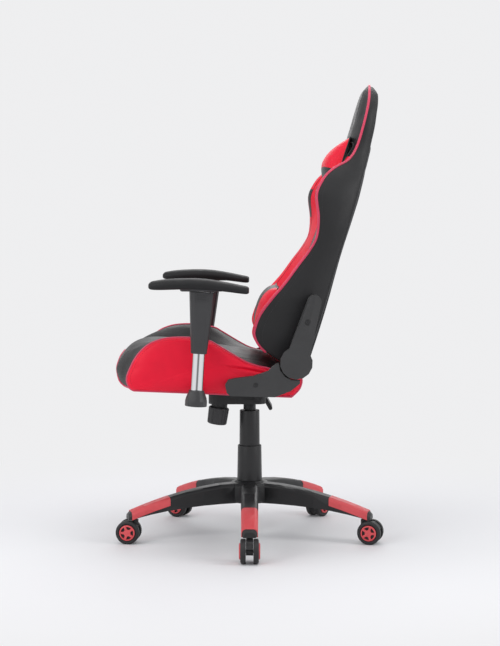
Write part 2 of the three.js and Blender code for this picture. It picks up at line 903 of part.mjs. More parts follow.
class Coil extends THREE.Curve {
  getPoint(t, target = new THREE.Vector3()) {
    const angle = 2 * Math.PI * springTurns * t;
    const rise = springCupHeight - 2 * springWireRadius;
    const height = springWireRadius - springCupHeight / 2 + rise * t;
    return target.set(springRadius * Math.cos(angle), springRadius * Math.sin(angle), height);
  }
}

// The least air between the turns, measured between points that are half a turn apart or more
function coilGap(coil) {
  const points = coil.getPoints(springTurns * springStepsPerTurn);
  let least = Infinity;
  points.forEach((point, i) => {
    for (const other of points.slice(i + springStepsPerTurn / 2)) {
      least = Math.min(least, point.distanceTo(other) - 2 * springWireRadius);
    }
  });
  return least;
}

function tensionSpringGeometry() {
  const coil = new Coil();
  console.log(`tension_spring: least gap to itself ${coilGap(coil).toFixed(2)} mm`);
  const section = circleOutline(0, 0, springWireRadius);
  const steps = springTurns * springStepsPerTurn;
  const options = { steps, extrudePath: coil, curveSegments: tubeSteps };
  return new THREE.ExtrudeGeometry(section, options).applyMatrix4(springPlace);
}

function tensionKnobGeometry() {
  const top = -springCupHeight / 2 - gap;
  const edge = knobFluteRadius;
  const knob = turned([
    [0, top - knobHeight],
    [knobRadius - 2 * edge, top - knobHeight],
    [knobRadius - edge / 2, top - knobHeight + edge],
    [knobRadius, top - edge],
    [knobRadius - edge, top],
    [boltRadius, top],
    [boltRadius, springCupHeight / 2 + springWireRadius],
    [0, springCupHeight / 2 + springWireRadius],
  ]);
  const flutes = evenly(0, 2 * Math.PI, knobFlutes).slice(1);
  const grooves = flutes.map((angle) => {
    const bottom = top - knobHeight - overrun;
    const groove = rod(knobFluteRadius, bottom, top - 2 * edge, fluteSides);
    const at = knobRadius + knobFluteRadius / 2;
    return groove.translate(at * Math.cos(angle), at * Math.sin(angle), 0);
  });
  return cut(knob, ...grooves).applyMatrix4(springPlace);
}

function liftLeverGeometry() {
  const start = housingWidth / 2 - plateThickness - overrun;
  const lever = rodAcross(leverRodRadius, -leverRodReach, -start, 0, 0);
  const half = leverPaddleThickness / 2;
  const paddle = across(
    roundedRectangle(-half, -half, leverPaddleLength - half, half, half - gap),
    -leverRodReach - leverPaddleWidth,
    -leverRodReach + overrun,
  ).rotateX(degToRad(-leverDroop));
  return fuse(lever, paddle).translate(0, leverRear, leverHeight);
}

function buildMechanism() {
  add(chair, "tilt_housing", tiltHousingGeometry(), paint.blackSteel);
  const half = housingWidth / 2 + 2 * plateThickness;
  const pin = fuse(
    rodAcross(tiltPinRadius, -half, half, tiltPinRear, tiltPinHeight),
    rodAcross(
      tiltPinRadius + plateThickness,
      half - gap,
      half + plateThickness,
      tiltPinRear,
      tiltPinHeight,
    ),
  );
  add(chair, "tilt_pin", pin, paint.zinc);
  add(chair, "tension_spring", tensionSpringGeometry(), paint.zinc);
  add(chair, "tension_knob", tensionKnobGeometry(), paint.blackPlastic);
  add(chair, "lift_lever", liftLeverGeometry(), paint.blackPlastic);
}

// Seat: the frame of the seat and everything on it share the seat's rake
const seatGroup = new THREE.Group();
seatGroup.position.set(0, 0, seatHeight);
seatGroup.rotation.x = degToRad(-seatRake);
chair.add(seatGroup);

function inSeat(y, z) {
  const turn = degToRad(seatRake);
  const up = z - seatHeight;
  return [
    y * Math.cos(turn) - up * Math.sin(turn),
    y * Math.sin(turn) + up * Math.cos(turn),
  ];
}

const hingeInSeat = inSeat(pivotRear, pivotHeight);
const tiltPinInSeat = inSeat(tiltPinRear, tiltPinHeight);

// Side view of the bolster: share of its length from the front, share of its height
const bolsterShares = [
  [0.042, 0],
  [0.02, 0.038],
  [0, 0.204],
  [0.022, 0.43],
  [0.056, 0.64],
  [0.104, 0.81],
  [0.153, 0.905],
  [0.224, 0.975],
  [0.347, 1],
  [0.469, 0.95],
  [0.518, 0.873],
  [0.602, 0.746],
  [0.686, 0.623],
  [0.751, 0.567],
  [0.824, 0.528],
  [0.875, 0.409],
  [0.931, 0.339],
  [1, 0.352],
  [0.996, 0.171],
  [0.951, 0],
];

// The same points along the middle of the seat
const middleShares = [
  [0.045, 0],
  [0.022, 0.108],
  [0, 0.36],
  [0.007, 0.569],
  [0.016, 0.654],
  [0.05, 0.834],
  [0.11, 0.966],
  [0.166, 1],
  [0.291, 0.974],
  [0.424, 0.922],
  [0.506, 0.888],
  [0.588, 0.853],
  [0.67, 0.819],
  [0.742, 0.793],
  [0.803, 0.741],
  [0.867, 0.569],
  [0.92, 0.397],
  [1, 0.345],
  [0.996, 0.172],
  [0.955, 0],
];

// From the middle outwards: share of the half width, how much of the bolster's outline is
// taken, and share of the sag
const seatAcrossShares = [
  [0, 0, 0],
  [0.3, 0, 0.2],
  [0.5, 0.02, 0.8],
  [0.573, 0.06, 1],
  [0.68, 0.38, 0.5],
  [0.79, 0.78, 0],
  [0.88, 0.97, 0],
  [0.95, 1, 0],
  [1, 1, 0],
];

function seatRing(x) {
  const share = Math.min(1, Math.abs(x) / seatHalfWidth);
  const toBolster = Math.min(1, follow(seatAcrossShares, 1, share));
  const sag = seatSag * follow(seatAcrossShares, 2, share);
  const tuck = share > seatAcrossShares.at(-2)[0] ? seatTuckShare : 0;
  return bolsterShares.map(([along, up], i) => {
    const [middleAlong, middleUp] = middleShares[i];
    const sideY = mix(-seatSideFront, seatRear, mix(along, seatCentreShare, 2 * tuck));
    const middleY = mix(-seatFront, seatRear, middleAlong);
    const sideZ = seatCrest * up * (1 - tuck);
    const middleZ = Math.max(0, seatCrown * middleUp - (middleUp > seatTopShare ? sag : 0));
    return [mix(middleY, sideY, toBolster), mix(middleZ, sideZ, toBolster)];
  });
}

function seatLoft(stations) {
  return loft(stations.map(seatRing), (at, [y, z]) => [stations[at], y, z]);
}

// The tube frame lies in a recess under the foam, and its ears carry the recline hinges
function seatFrameGeometry(grow) {
  const outer = seatFrameHalfWidth + grow;
  const inner = seatFrameHalfWidth - seatTube - grow;
  const loop = roundedRectangle(
    -outer,
    -seatFrameFront - grow,
    outer,
    seatFrameRear + grow,
    seatFrameCorner,
  );
  loop.holes.push(
    roundedRectangle(
      -inner,
      seatTube + grow - seatFrameFront,
      inner,
      seatFrameRear - seatTube - grow,
      seatFrameCorner - seatTube,
    ),
  );
  const bottom = grow > 0 ? -overrun : 0;
  const top = seatTubeHeight + grow;
  const rails = [-tiltPlateFront + seatRailWidth / 2, tiltPlateRear - 2 * seatRailWidth];
  const bars = rails.map((y) => {
    const half = seatRailWidth / 2 + grow;
    return block(-inner - seatTube / 2, y - half, bottom, inner + seatTube / 2, y + half, top);
  });
  const crossers = [-1, 1].map((side) => {
    const reach = [side * (seatFrameHalfWidth - seatTube / 2), side * (hingeInner + hingePlate)];
    const [from, to] = [Math.min(...reach), Math.max(...reach)];
    const half = earRadius / 2 + grow;
    return block(from, earRear - half, bottom, to, earRear + half, top);
  });
  return fuse(upright(loop, bottom, top), ...bars, ...crossers);
}

function earGeometry(grow) {
  const foot = [earRear, earRadius];
  const shape = linkOutline(foot, earRadius + grow, hingeInSeat, earRadius + grow);
  return across(shape, hingeInner - grow, hingeInner + hingePlate + grow, halfRoundSteps);
}

function hingePinGeometry() {
  const start = hingeInner + hingePlate / 2;
  const end = hingeInner + 2 * hingePlate + hingePinHead;
  return rodAcross(hingePinRadius, start, end, ...hingeInSeat);
}

function buildSeat() {
  const half = seatMiddleHalfWidth;
  const ear = earGeometry(0);
  const pin = hingePinGeometry();
  const frame = fuse(seatFrameGeometry(0), ear, pin, mirrored(ear), mirrored(pin));
  add(seatGroup, "seat_frame", frame, paint.blackSteel);

  const recess = seatFrameGeometry(gap);
  const middle = seatLoft(evenly(-half, half, seatMiddleSteps));
  add(seatGroup, "seat_cushion", cut(middle, recess), paint.blackLeather);
  const start = half + gap;
  const stations = seatAcrossShares.map(([share]) => share * seatHalfWidth);
  const bolster = cut(seatLoft([start, ...stations.filter((x) => x > start)]), recess);
  add(seatGroup, "seat_bolster_left", bolster, paint.redLeather);
  add(seatGroup, "seat_bolster_right", mirrored(bolster), paint.redLeather);
  add(seatGroup, "tilt_plate", tiltPlateGeometry(), paint.blackSteel);
}

function tiltPlateGeometry() {
  const half = tiltPlateWidth / 2;
  const corner = 4 * plateThickness;
  const top = -gap;
  const outline = roundedRectangle(-half, -tiltPlateFront, half, tiltPlateRear, corner);
  const plate = upright(outline, top - plateThickness, top);
  const [pinY, pinZ] = tiltPinInSeat;
  const flangeOutline = linkOutline(
    [pinY, pinZ],
    2 * tiltPinRadius,
    [pinY, top],
    tiltFlangeLength / 2,
  );
  const inner = housingWidth / 2 + gap;
  const bore = rodAcross(
    tiltPinRadius + gap,
    -half - overrun,
    half + overrun,
    pinY,
    pinZ,
  );
  const flanges = [inner, -inner - plateThickness].map((x) =>
    across(flangeOutline, x, x + plateThickness, halfRoundSteps),
  );
  const above = block(-half, -seatFront, top, half, seatFront, seatFront);
  return cut(fuse(plate, ...flanges), above, bore);
}

// Seat hinge cover: share of its length from the front, share of its height
const seatCoverShares = [
  [0.075, 0],
  [0.67, 0.02],
  [0.88, 0.21],
  [1, 0.43],
  [1, 0.95],
  [0.69, 0.97],
  [0.625, 0.87],
  [0.565, 0.73],
  [0.37, 0.58],
  [0.135, 0.5],
  [0.04, 0.45],
  [0, 0.31],
  [0.025, 0.09],
];

function seatHingeCoverGeometry() {
  const start = hingeInner - hingeCoverWall;
  const end = start + seatCoverDepth;
  const outer = seatCoverShares.map(([along, up]) => [
    along * seatCoverLength - seatCoverFront,
    up * seatCoverHeight,
  ]);
  const notch = lobeRadius + lobeClearance;
  const body = cut(
    across(outlineOf(outer), start, end),
    across(circleOutline(...hingeInSeat, notch), start - overrun, end + overrun, roundSteps),
  );
  const room = cut(
    across(outlineOf(shrunk(outer, hingeCoverWall)), start - overrun, end - hingeCoverWall),
    across(
      circleOutline(...hingeInSeat, notch + hingeCoverWall),
      start - 2 * overrun,
      end,
      roundSteps,
    ),
  );
  const [screwAlong, screwUp] = seatCoverScrewShares;
  const screwAt = [seatCoverLength * screwAlong - seatCoverFront, seatCoverHeight * screwUp];
  const screw = rodAcross(coverScrewRadius, end - coverScrewDepth, end + overrun, ...screwAt);
  return cut(body, room, earGeometry(gap), crosserSpace(), screw);
}

function crosserSpace() {
  const half = earRadius / 2 + gap;
  return block(
    seatFrameHalfWidth,
    earRear - half,
    -overrun,
    hingeInner + hingePlate + gap,
    earRear + half,
    seatTubeHeight + gap,
  );
}

// An outline drawn in by the same distance everywhere
function shrunk(points, distance) {
  const flat = points.map(([x, y]) => new THREE.Vector2(x, y));
  const turn = Math.sign(signedArea(flat));
  return flat.map((point, i) => {
    const before = flat[(i + flat.length - 1) % flat.length];
    const after = flat[(i + 1) % flat.length];
    const a = point.clone().sub(before).normalize();
    const b = after.clone().sub(point).normalize();
    const normal = new THREE.Vector2(-a.y - b.y, a.x + b.x).normalize();
    const spread = Math.max(0.5, normal.x * -a.y + normal.y * a.x);
    const moved = point.clone().addScaledVector(normal, (turn * distance) / spread);
    return [moved.x, moved.y];
  });
}

// Back: leans about the recline hinge, with its own frame of x across, y rearwards, z along
const backGroup = new THREE.Group();
backGroup.position.set(0, pivotRear, pivotHeight);
backGroup.rotation.x = degToRad(-backLean);
chair.add(backGroup);

// From the bottom up, in shares: length, half width, front of the wings and of the middle
// (of the wing reach), rear face (of the rear depth)
const backShares = [
  [-0.05, 0.8, -0.06, -0.06, 0.15],
  [-0.039, 0.87, -0.18, -0.18, 0.46],
  [-0.018, 0.92, -0.28, -0.26, 0.68],
  [0, 0.94, -0.6, -0.295, 0.69],
  [0.02, 0.957, -0.82, -0.32, 0.7],
  [0.051, 0.98, -0.976, -0.34, 0.71],
  [0.08, 0.996, -1, -0.355, 0.73],
  [0.128, 1, -0.965, -0.363, 0.76],
  [0.189, 0.99, -0.82, -0.35, 0.79],
  [0.25, 0.973, -0.647, -0.318, 0.81],
  [0.32, 0.961, -0.488, -0.273, 0.81],
  [0.38, 0.955, -0.344, -0.227, 0.815],
  [0.431, 0.961, -0.276, -0.197, 0.835],
  [0.497, 0.976, -0.344, -0.167, 0.88],
  [0.562, 0.967, -0.495, -0.144, 0.92],
  [0.592, 0.945, -0.507, -0.129, 0.94],
  [0.641, 0.876, -0.427, -0.114, 0.945],
  [0.672, 0.802, -0.306, -0.106, 0.95],
  [0.693, 0.736, -0.185, -0.098, 0.945],
  [0.712, 0.68, -0.064, -0.091, 0.945],
  [0.739, 0.62, 0.02, -0.083, 0.935],
  [0.764, 0.582, 0.058, -0.076, 0.925],
  [0.798, 0.562, 0.08, -0.076, 0.895],
  [0.857, 0.55, 0.084, -0.066, 0.85],
  [0.903, 0.512, 0.08, -0.068, 0.77],
  [0.942, 0.434, 0.068, -0.066, 0.71],
  [0.978, 0.29, 0.045, -0.045, 0.58],
  [1, 0.12, 0.04, 0.015, 0.31],
];

// Half of a section, from the front middle round to the rear: share of the half width, and
// share of the way from the middle's front to the wing's front, or from there to the rear
const backFrontShares = [
  [0.34, 0],
  [0.56, -0.02],
  [0.72, 0.35],
  [0.86, 0.84],
  [0.95, 1],
];
const backSideShares = [
  [1, 0.06],
  [0.985, 0.5],
  [0.93, 0.84],
  [0.86, 1],
];

function backRing([, width, wing, middle, rear]) {
  const half = width * backHalfWidth;
  const wingFront = wing * backWingReach;
  const middleFront = middle * backWingReach;
  const rearFace = rear * backRearDepth;
  const valley = wingFront < middleFront ? backValley : 0;
  const front = backFrontShares.map(([out, way], i) => [
    out * half,
    mix(middleFront, wingFront, way) + (i === 1 ? valley : 0),
  ]);
  const side = backSideShares.map(([out, way]) => [
    out * half,
    mix(wingFront, rearFace, way),
  ]);
  const right = [...front, ...side];
  const left = right.map(([x, y]) => [-x, y]).reverse();
  return [[0, middleFront], ...right, [0, rearFace], ...left];
}

function backLoft() {
  return loft(backShares.map(backRing), (at, [x, y]) => [x, y, backShares[at][0] * backLength]);
}

// The hoop rises at the sides, draws in between the two slots and closes over the head
function hoopGeometry(grow) {
  const corner = hoopNeck - hoopShoulder;
  const crown = hoopTop - hoopNeckHalfWidth;
  const point = (x, z) => new THREE.Vector3(x, hoopRear, z);
  const path = new THREE.CurvePath();
  const side = hoopHalfWidth;
  const neck = hoopNeckHalfWidth;
  path.add(new THREE.LineCurve3(point(side, hoopBottom - grow), point(side, hoopShoulder)));
  path.add(
    new THREE.CubicBezierCurve3(
      point(side, hoopShoulder),
      point(side, hoopShoulder + corner / 2),
      point(neck, hoopNeck - corner / 2),
      point(neck, hoopNeck),
    ),
  );
  path.add(new THREE.LineCurve3(point(neck, hoopNeck), point(neck, crown)));
  path.add(
    new THREE.CubicBezierCurve3(
      point(neck, crown),
      point(neck, hoopTop),
      point(-neck, hoopTop),
      point(-neck, crown),
    ),
  );
  path.add(new THREE.LineCurve3(point(-neck, crown), point(-neck, hoopNeck)));
  path.add(
    new THREE.CubicBezierCurve3(
      point(-neck, hoopNeck),
      point(-neck, hoopNeck - corner / 2),
      point(-side, hoopShoulder + corner / 2),
      point(-side, hoopShoulder),
    ),
  );
  path.add(new THREE.LineCurve3(point(-side, hoopShoulder), point(-side, hoopBottom - grow)));
  const section = circleOutline(0, 0, hoopTubeRadius + grow);
  const options = { steps: hoopSteps, extrudePath: path, curveSegments: tubeSteps };
  const tube = new THREE.ExtrudeGeometry(section, options);
  const bar = rodAcross(hoopTubeRadius + grow, -side, side, hoopRear, hoopCrossbar);
  const end = hingeInner + hingePlate + gap + hingePlate / 2;
  const stubs = [hoopCrossbar, backArmLength].map((z) =>
    rodAcross(hoopTubeRadius - gap + grow, -end, end, hoopRear / 2, z),
  );
  const middle = hoopHalfWidth - hoopTubeRadius - 2 * grow;
  const between = block(-middle, -backWingReach, 0, middle, backRearDepth, hoopShoulder);
  return fuse(tube, bar, ...stubs.map((stub) => cut(stub, between)));
}

function backArmGeometry(grow) {
  const start = hingeInner + hingePlate + gap - grow;
  const top = [hoopRear / 2, backArmLength];
  const shape = linkOutline([0, 0], earRadius + grow, top, backArmRadius + grow);
  return across(shape, start, start + hingePlate + 2 * grow, halfRoundSteps);
}

function buildBackFrame() {
  const arm = cut(
    backArmGeometry(0),
    rodAcross(hingePinRadius + gap, 0, farSide, 0, 0),
  );
  const frame = fuse(hoopGeometry(0), arm, mirrored(arm));
  add(backGroup, "back_frame", frame, paint.blackSteel);
}

// Back hinge cover: a lobe round the hinge and an arm up the side of the back
function backCoverOutline(inset) {
  const top = [hoopRear / 4, backCoverTopLength];
  return [
    circleOutline(0, 0, lobeRadius - inset),
    linkOutline([0, 0], backCoverRootRadius - inset, top, backCoverTopRadius - inset),
  ];
}

function backHingeCoverGeometry() {
  const start = hingeInner + hingePlate + gap;
  const end = start + backCoverDepth;
  const skirtStart = backHalfWidth + gap;
  const body = backCoverOutline(0).map((shape) => across(shape, start, end, roundSteps));
  const skirt = cut(
    across(backCoverOutline(0)[1], skirtStart, end, roundSteps),
    block(0, -backLength, -backLength, start, backLength, lobeRadius + lobeClearance),
  );
  const room = backCoverOutline(hingeCoverWall).map((shape) =>
    across(shape, skirtStart - overrun, end - hingeCoverWall, roundSteps),
  );
  const stubSpace = [hoopCrossbar, backArmLength].map((z) =>
    rodAcross(hoopTubeRadius + gap, 0, start + hingePlate, hoopRear / 2, z),
  );
  const screw = rodAcross(
    coverScrewRadius,
    end - coverScrewDepth,
    end + overrun,
    0,
    backCoverScrewHeight,
  );
  return cut(fuse(skirt, ...body), fuse(...room), ...stubSpace, screw);
}

function reclineLeverGeometry() {
  const face = hingeInner + hingePlate + gap + backCoverDepth + gap;
  const reach = degToRad(reclineLeverDroop);
  const tip = [-reclineLeverReach * Math.cos(reach), -reclineLeverReach * Math.sin(reach)];
  const shape = linkOutline([0, 0], reclineLeverHub, tip, reclineLeverRadius);
  const arm = across(shape, face, face + reclineLeverThickness, halfRoundSteps);
  const grip = rodAcross(
    reclineLeverRadius,
    face,
    face + 3 * reclineLeverThickness,
    tip[0],
    tip[1],
  );
  const pinEnd = hingeInner + 2 * hingePlate + hingePinHead + gap;
  const shaft = rodAcross(hingePinRadius, pinEnd, face + reclineLeverThickness / 2, 0, 0);
  return mirrored(fuse(arm, grip, shaft)).translate(0, pivotRear, pivotHeight);
}

function buildHinges() {
  const seatCover = seatHingeCoverGeometry();
  add(seatGroup, "seat_hinge_cover_left", seatCover, paint.greyPlastic);
  add(seatGroup, "seat_hinge_cover_right", mirrored(seatCover), paint.greyPlastic);
  const backCover = backHingeCoverGeometry();
  add(backGroup, "back_hinge_cover_left", backCover, paint.greyPlastic);
  const leverHole = rodAcross(hingePinRadius + gap, 0, farSide, 0, 0);
  const drilled = cut(backCover, leverHole);
  add(backGroup, "back_hinge_cover_right", mirrored(drilled), paint.greyPlastic);
  add(chair, "recline_lever", reclineLeverGeometry(), paint.blackPlastic);
}

function slotGeometry() {
  const shape = roundedRectangle(slotInner, slotBottom, slotOuter, slotTop, slotCorner);
  const depth = 2 * backWingReach;
  return upright(shape, -depth, depth).rotateX(Math.PI / 2);
}

function buildBackCushion() {
  const slot = slotGeometry();
  const foam = cut(backLoft(), hoopGeometry(gap), slot, mirrored(slot));
  add(backGroup, "back_cushion", foam, paint.blackLeather);
}

// Pillows: crowned pads with drawn-in edges, in the back's frame.
// From end to end: share of the width, share of the fullness
const pillowShares = [
  [0, 0.3],
  [0.04, 0.62],
  [0.14, 0.88],
  [0.32, 1],
  [0.68, 1],
  [0.86, 0.88],
  [0.96, 0.62],
  [1, 0.3],
];
const pillowEndShare = 0.9; // of the height, kept where nothing fills the pillow

// Upper half of a section, from the rear face to the front: share of the thickness, share of
// half the height. The neck pillow thins out upwards, and the lumbar pillow is a plump block.
const neckSectionShares = [
  [0, 0.75],
  [0.12, 0.98],
  [0.4, 0.74],
  [0.74, 0.46],
  [1, 0],
];
const lumbarSectionShares = [
  [0, 0.62],
  [0.35, 0.97],
  [0.72, 0.82],
  [0.96, 0.42],
  [1, 0],
];

function pillowGeometry(section, halfWidth, bottom, top, front, depth) {
  const stations = pillowShares.map(([share]) => mix(-halfWidth, halfWidth, share));
  const centre = (bottom + top) / 2;
  const rear = depth - front;
  const rings = pillowShares.map(([, fullness]) => {
    const halfHeight = ((top - bottom) / 2) * mix(pillowEndShare, 1, fullness);
    const upper = section.map(([out, up]) => [rear - depth * fullness * out, halfHeight * up]);
    const lower = upper.slice(0, -1).reverse();
    return [
      ...upper.map(([y, z]) => [y, centre + z]),
      ...lower.map(([y, z]) => [y, centre - z]),
    ];
  });
  return loft(rings, (at, [y, z]) => [stations[at], y, z]);
}

function buildPillows() {
  const neck = pillowGeometry(
    neckSectionShares,
    neckPillowHalfWidth,
    neckPillowBottom,
    neckPillowBottom + neckPillowHeight,
    neckPillowFront,
    neckPillowDepth,
  );
  add(backGroup, "neck_pillow", neck, paint.redLeather);
  const lumbar = pillowGeometry(
    lumbarSectionShares,
    lumbarPillowHalfWidth,
    lumbarPillowBottom,
    lumbarPillowTop,
    lumbarPillowFront,
    lumbarPillowDepth,
  );
  add(backGroup, "lumbar_pillow", lumbar, paint.blackLeather);
}

// Armrests: a bar under the seat, a tube, and a sleeve that slides on it under the pad
function ovalOutline(width, depth) {
  const shape = new THREE.Shape();
  const straight = width / 2 - depth / 2;
  shape.absarc(0, straight, depth / 2, 0, Math.PI, false);
  shape.absarc(0, -straight, depth / 2, Math.PI, 2 * Math.PI, false);
  return shape;
}

function armPose() {
  return new THREE.Matrix4()
    .makeRotationX(degToRad(-armLean))
    .setPosition(armOffset, -armFootFront, -armFootDrop);
}

function armBracketGeometry() {
  const barTop = -gap;
  const half = armBarWidth / 2;
  const bar = upright(
    roundedRectangle(
      armBarInner,
      -armFootFront - half,
      armOffset + armTubeThickness / 2,
      half - armFootFront,
      armBarThickness,
    ),
    barTop - armBarThickness,
    barTop,
  );
  const tubeBottom = armFootDrop - armBarThickness;
  const oval = ovalOutline(armTubeWidth, armTubeThickness);
  const tube = upright(oval, tubeBottom, armTubeTop, halfRoundSteps);
  return fuse(bar, tube.applyMatrix4(armPose()));
}

// Skirt of the foot cap: share of the way from the neck's radius to the foot's, share of height
const bellShares = [
  [1, 0],
  [1, 0.34],
  [0.78, 0.55],
  [0.21, 0.85],
  [0, 1],
];

function armFootCapGeometry() {
  const wall = armFootWall;
  const skirt = bellShares.map(([wide, up]) => [
    mix(armFootNeckRadius, armFootRadius, wide),
    armFootHeight * up,
  ]);
  const [, shoulder] = skirt[1];
  const bell = turned([
    [armFootRadius - wall, 0],
    ...skirt,
    [0, armFootHeight],
    [0, armFootHeight - wall],
    [armFootNeckRadius - wall, armFootHeight - wall],
    [armFootRadius - wall, shoulder],
    [armFootRadius - wall, 0],
  ]);
  const hole = upright(
    ovalOutline(armTubeWidth + 2 * gap, armTubeThickness + 2 * gap),
    -overrun,
    armFootHeight + overrun,
    halfRoundSteps,
  );
  const half = armBarWidth / 2 + gap;
  const doorway = block(
    0,
    -armFootFront - half,
    -armFootDrop - overrun,
    armOffset + armTubeThickness / 2 + gap,
    half - armFootFront,
    0,
  );
  return cut(cut(bell, hole).applyMatrix4(armPose()), doorway);
}

function sleeveRing(halfY, halfX) {
  const corner = 2 * halfX * sleeveCornerShare;
  const bite = corner * sleeveBiteShare;
  const quarter = [
    [halfX, halfY - corner],
    [halfX - bite, halfY - bite],
    [halfX - corner, halfY],
  ];
  const flipX = quarter.map(([x, y]) => [-x, y]).reverse();
  const top = [...quarter, ...flipX];
  return [...top, ...top.map(([x, y]) => [-x, -y])];
}

function armSleeveGeometry() {
  const levels = [
    [sleeveBottom, sleeveBottomWidth - sleeveLip, sleeveBottomThickness - sleeveLip],
    [sleeveBottom + sleeveLip, sleeveBottomWidth, sleeveBottomThickness],
    [sleeveTop, sleeveTopWidth, sleeveTopThickness],
  ];
  const rings = levels.map(([, width, depth]) => sleeveRing(width / 2, depth / 2));
  const body = loft(rings, (at, [x, y]) => [x, y, levels[at][0]]);
  const bore = upright(
    ovalOutline(armTubeWidth + 2 * gap, armTubeThickness + 2 * gap),
    sleeveBottom - overrun,
    sleeveTop - sleeveRoof,
    halfRoundSteps,
  );
  return cut(body, bore, buttonBlock(gap, overrun, buttonTravel));
}

function buttonFace() {
  return sleeveTopThickness / 2 - buttonProud;
}

function buttonBlock(grow, proud, travel) {
  const half = buttonWidth / 2 + grow;
  return block(
    buttonFace() - buttonDepth - travel - grow,
    -half,
    buttonTop - buttonHeight - grow,
    buttonFace() + buttonProud + proud,
    half,
    buttonTop + grow,
  );
}

function armButtonGeometry() {
  const face = buttonFace() + buttonProud;
  const pitch = buttonHeight / (buttonRibs + 1);
  const grooves = Array.from({ length: buttonRibs }, (_, i) => {
    const z = buttonTop - pitch * (i + 1);
    const half = buttonWidth / 2 - 2 * buttonProud;
    const tall = (pitch * buttonGrooveShare) / 2;
    return block(face - buttonProud / 2, -half, z - tall, face + overrun, half, z + tall);
  });
  return cut(buttonBlock(0, 0, 0), ...grooves);
}

// Pad from front to rear: share of its length, then upper and lower face as shares of the
// thickness, and share of the width
const padShares = [
  [0, 0.62, 0.42, 0.42],
  [0.02, 0.86, 0.27, 0.68],
  [0.07, 1, 0.22, 0.86],
  [0.16, 1.12, 0.22, 0.96],
  [0.3, 1.23, 0.25, 1],
  [0.45, 1.27, 0.26, 1],
  [0.6, 1.14, 0.18, 0.97],
  [0.78, 0.84, 0.02, 0.92],
  [0.93, 0.5, -0.16, 0.84],
  [0.985, 0.3, -0.16, 0.68],
  [1, 0.12, -0.06, 0.46],
];

// Half of a section of the pad: share of the half width, share of the way down
const padSectionShares = [
  [0.55, 0.02],
  [0.86, 0.16],
  [1, 0.48],
  [0.94, 0.84],
  [0.8, 1],
];

function padRing(upper, lower, width) {
  const half = (padWidth * width) / 2;
  const [top, bottom] = [upper * padThickness, lower * padThickness];
  const right = padSectionShares.map(([out, down]) => [half * out, mix(top, bottom, down)]);
  const left = right.map(([x, z]) => [-x, z]).reverse();
  return [[0, top], ...right, ...left];
}

function armPadGeometry() {
  const rings = padShares.map(([, upper, lower, width]) => padRing(upper, lower, width));
  const pad = loft(rings, (at, [x, z]) => [x, padShares[at][0] * padLength - padFrontReach, z]);
  const half = padPlateWidth / 2;
  const plate = upright(
    roundedRectangle(-half, -padPlateFront, half, padPlateRear, padPlateThickness),
    0,
    padPlateThickness + padPlateSink,
  );
  return fuse(pad, plate);
}

function buildArmrest(side, name) {
  const flip = (geometry) => (side < 0 ? mirrored(geometry) : geometry);
  add(seatGroup, `arm_bracket_${name}`, flip(armBracketGeometry()), paint.chrome);
  add(seatGroup, `arm_foot_cap_${name}`, flip(armFootCapGeometry()), paint.greyPlastic);
  const arm = new THREE.Group();
  arm.position.set(side * armOffset, -armFootFront, -armFootDrop);
  arm.rotation.x = degToRad(-armLean);
  seatGroup.add(arm);
  add(arm, `arm_sleeve_${name}`, flip(armSleeveGeometry()), paint.greyPlastic);
  add(arm, `arm_button_${name}`, flip(armButtonGeometry()), paint.blackPlastic);
  const level = new THREE.Group();
  level.position.set(0, 0, sleeveTop + padTilt());
  level.rotation.x = degToRad(armLean + seatRake);
  arm.add(level);
  add(level, `arm_pad_${name}`, flip(armPadGeometry()), paint.softPad);
}

// The pad is level, so it clears the higher edge of the leaning sleeve
function padTilt() {
  return gap + (sleeveTopWidth / 2) * Math.tan(degToRad(armLean + seatRake));
}

buildBase();
buildCastors();
buildGasLift();
buildMechanism();
buildSeat();
buildBackFrame();
buildHinges();
buildBackCushion();
buildPillows();
buildArmrest(1, "left");
buildArmrest(-1, "right");

export default chair;
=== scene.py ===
# The racing-style gaming rocker chair dressed for the picture: upholstery with piping and
# seams, moulded and metal parts, floor, light and camera. Metres, +Z up, the sitter faces -Y.
import math

import bmesh
import bpy
import numpy as np
from mathutils import Matrix, Vector
from mathutils.bvhtree import BVHTree


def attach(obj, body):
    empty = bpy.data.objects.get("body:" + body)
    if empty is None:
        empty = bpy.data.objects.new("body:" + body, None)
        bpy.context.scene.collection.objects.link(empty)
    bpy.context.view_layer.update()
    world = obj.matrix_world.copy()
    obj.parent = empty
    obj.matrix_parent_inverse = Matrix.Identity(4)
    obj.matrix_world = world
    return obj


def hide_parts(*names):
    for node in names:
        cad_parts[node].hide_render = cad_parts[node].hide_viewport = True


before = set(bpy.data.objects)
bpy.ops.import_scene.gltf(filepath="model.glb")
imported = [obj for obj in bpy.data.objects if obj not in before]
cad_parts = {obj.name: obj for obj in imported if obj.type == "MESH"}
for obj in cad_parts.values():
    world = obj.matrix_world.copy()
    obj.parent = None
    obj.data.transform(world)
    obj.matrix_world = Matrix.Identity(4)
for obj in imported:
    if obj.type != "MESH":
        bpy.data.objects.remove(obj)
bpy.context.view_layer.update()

# Camera, fitted to the photograph
CAMERA_PLACE = (4.147, 0.0011, 0.8875)
CAMERA_PITCH = 4.108  # degrees down
PHOTO_HEIGHT = 646
FOCAL_PIXELS = 1515
SENSOR = 36

# Fits and fineness
HAIR = 0.0003  # clearance between pieces that touch
ROUND = 64
FINE_ROUND = 32
EDGE_ROUND = 0.0012
SMOOTH_ANGLE = 32  # degrees
CORNER_ANGLE = 14

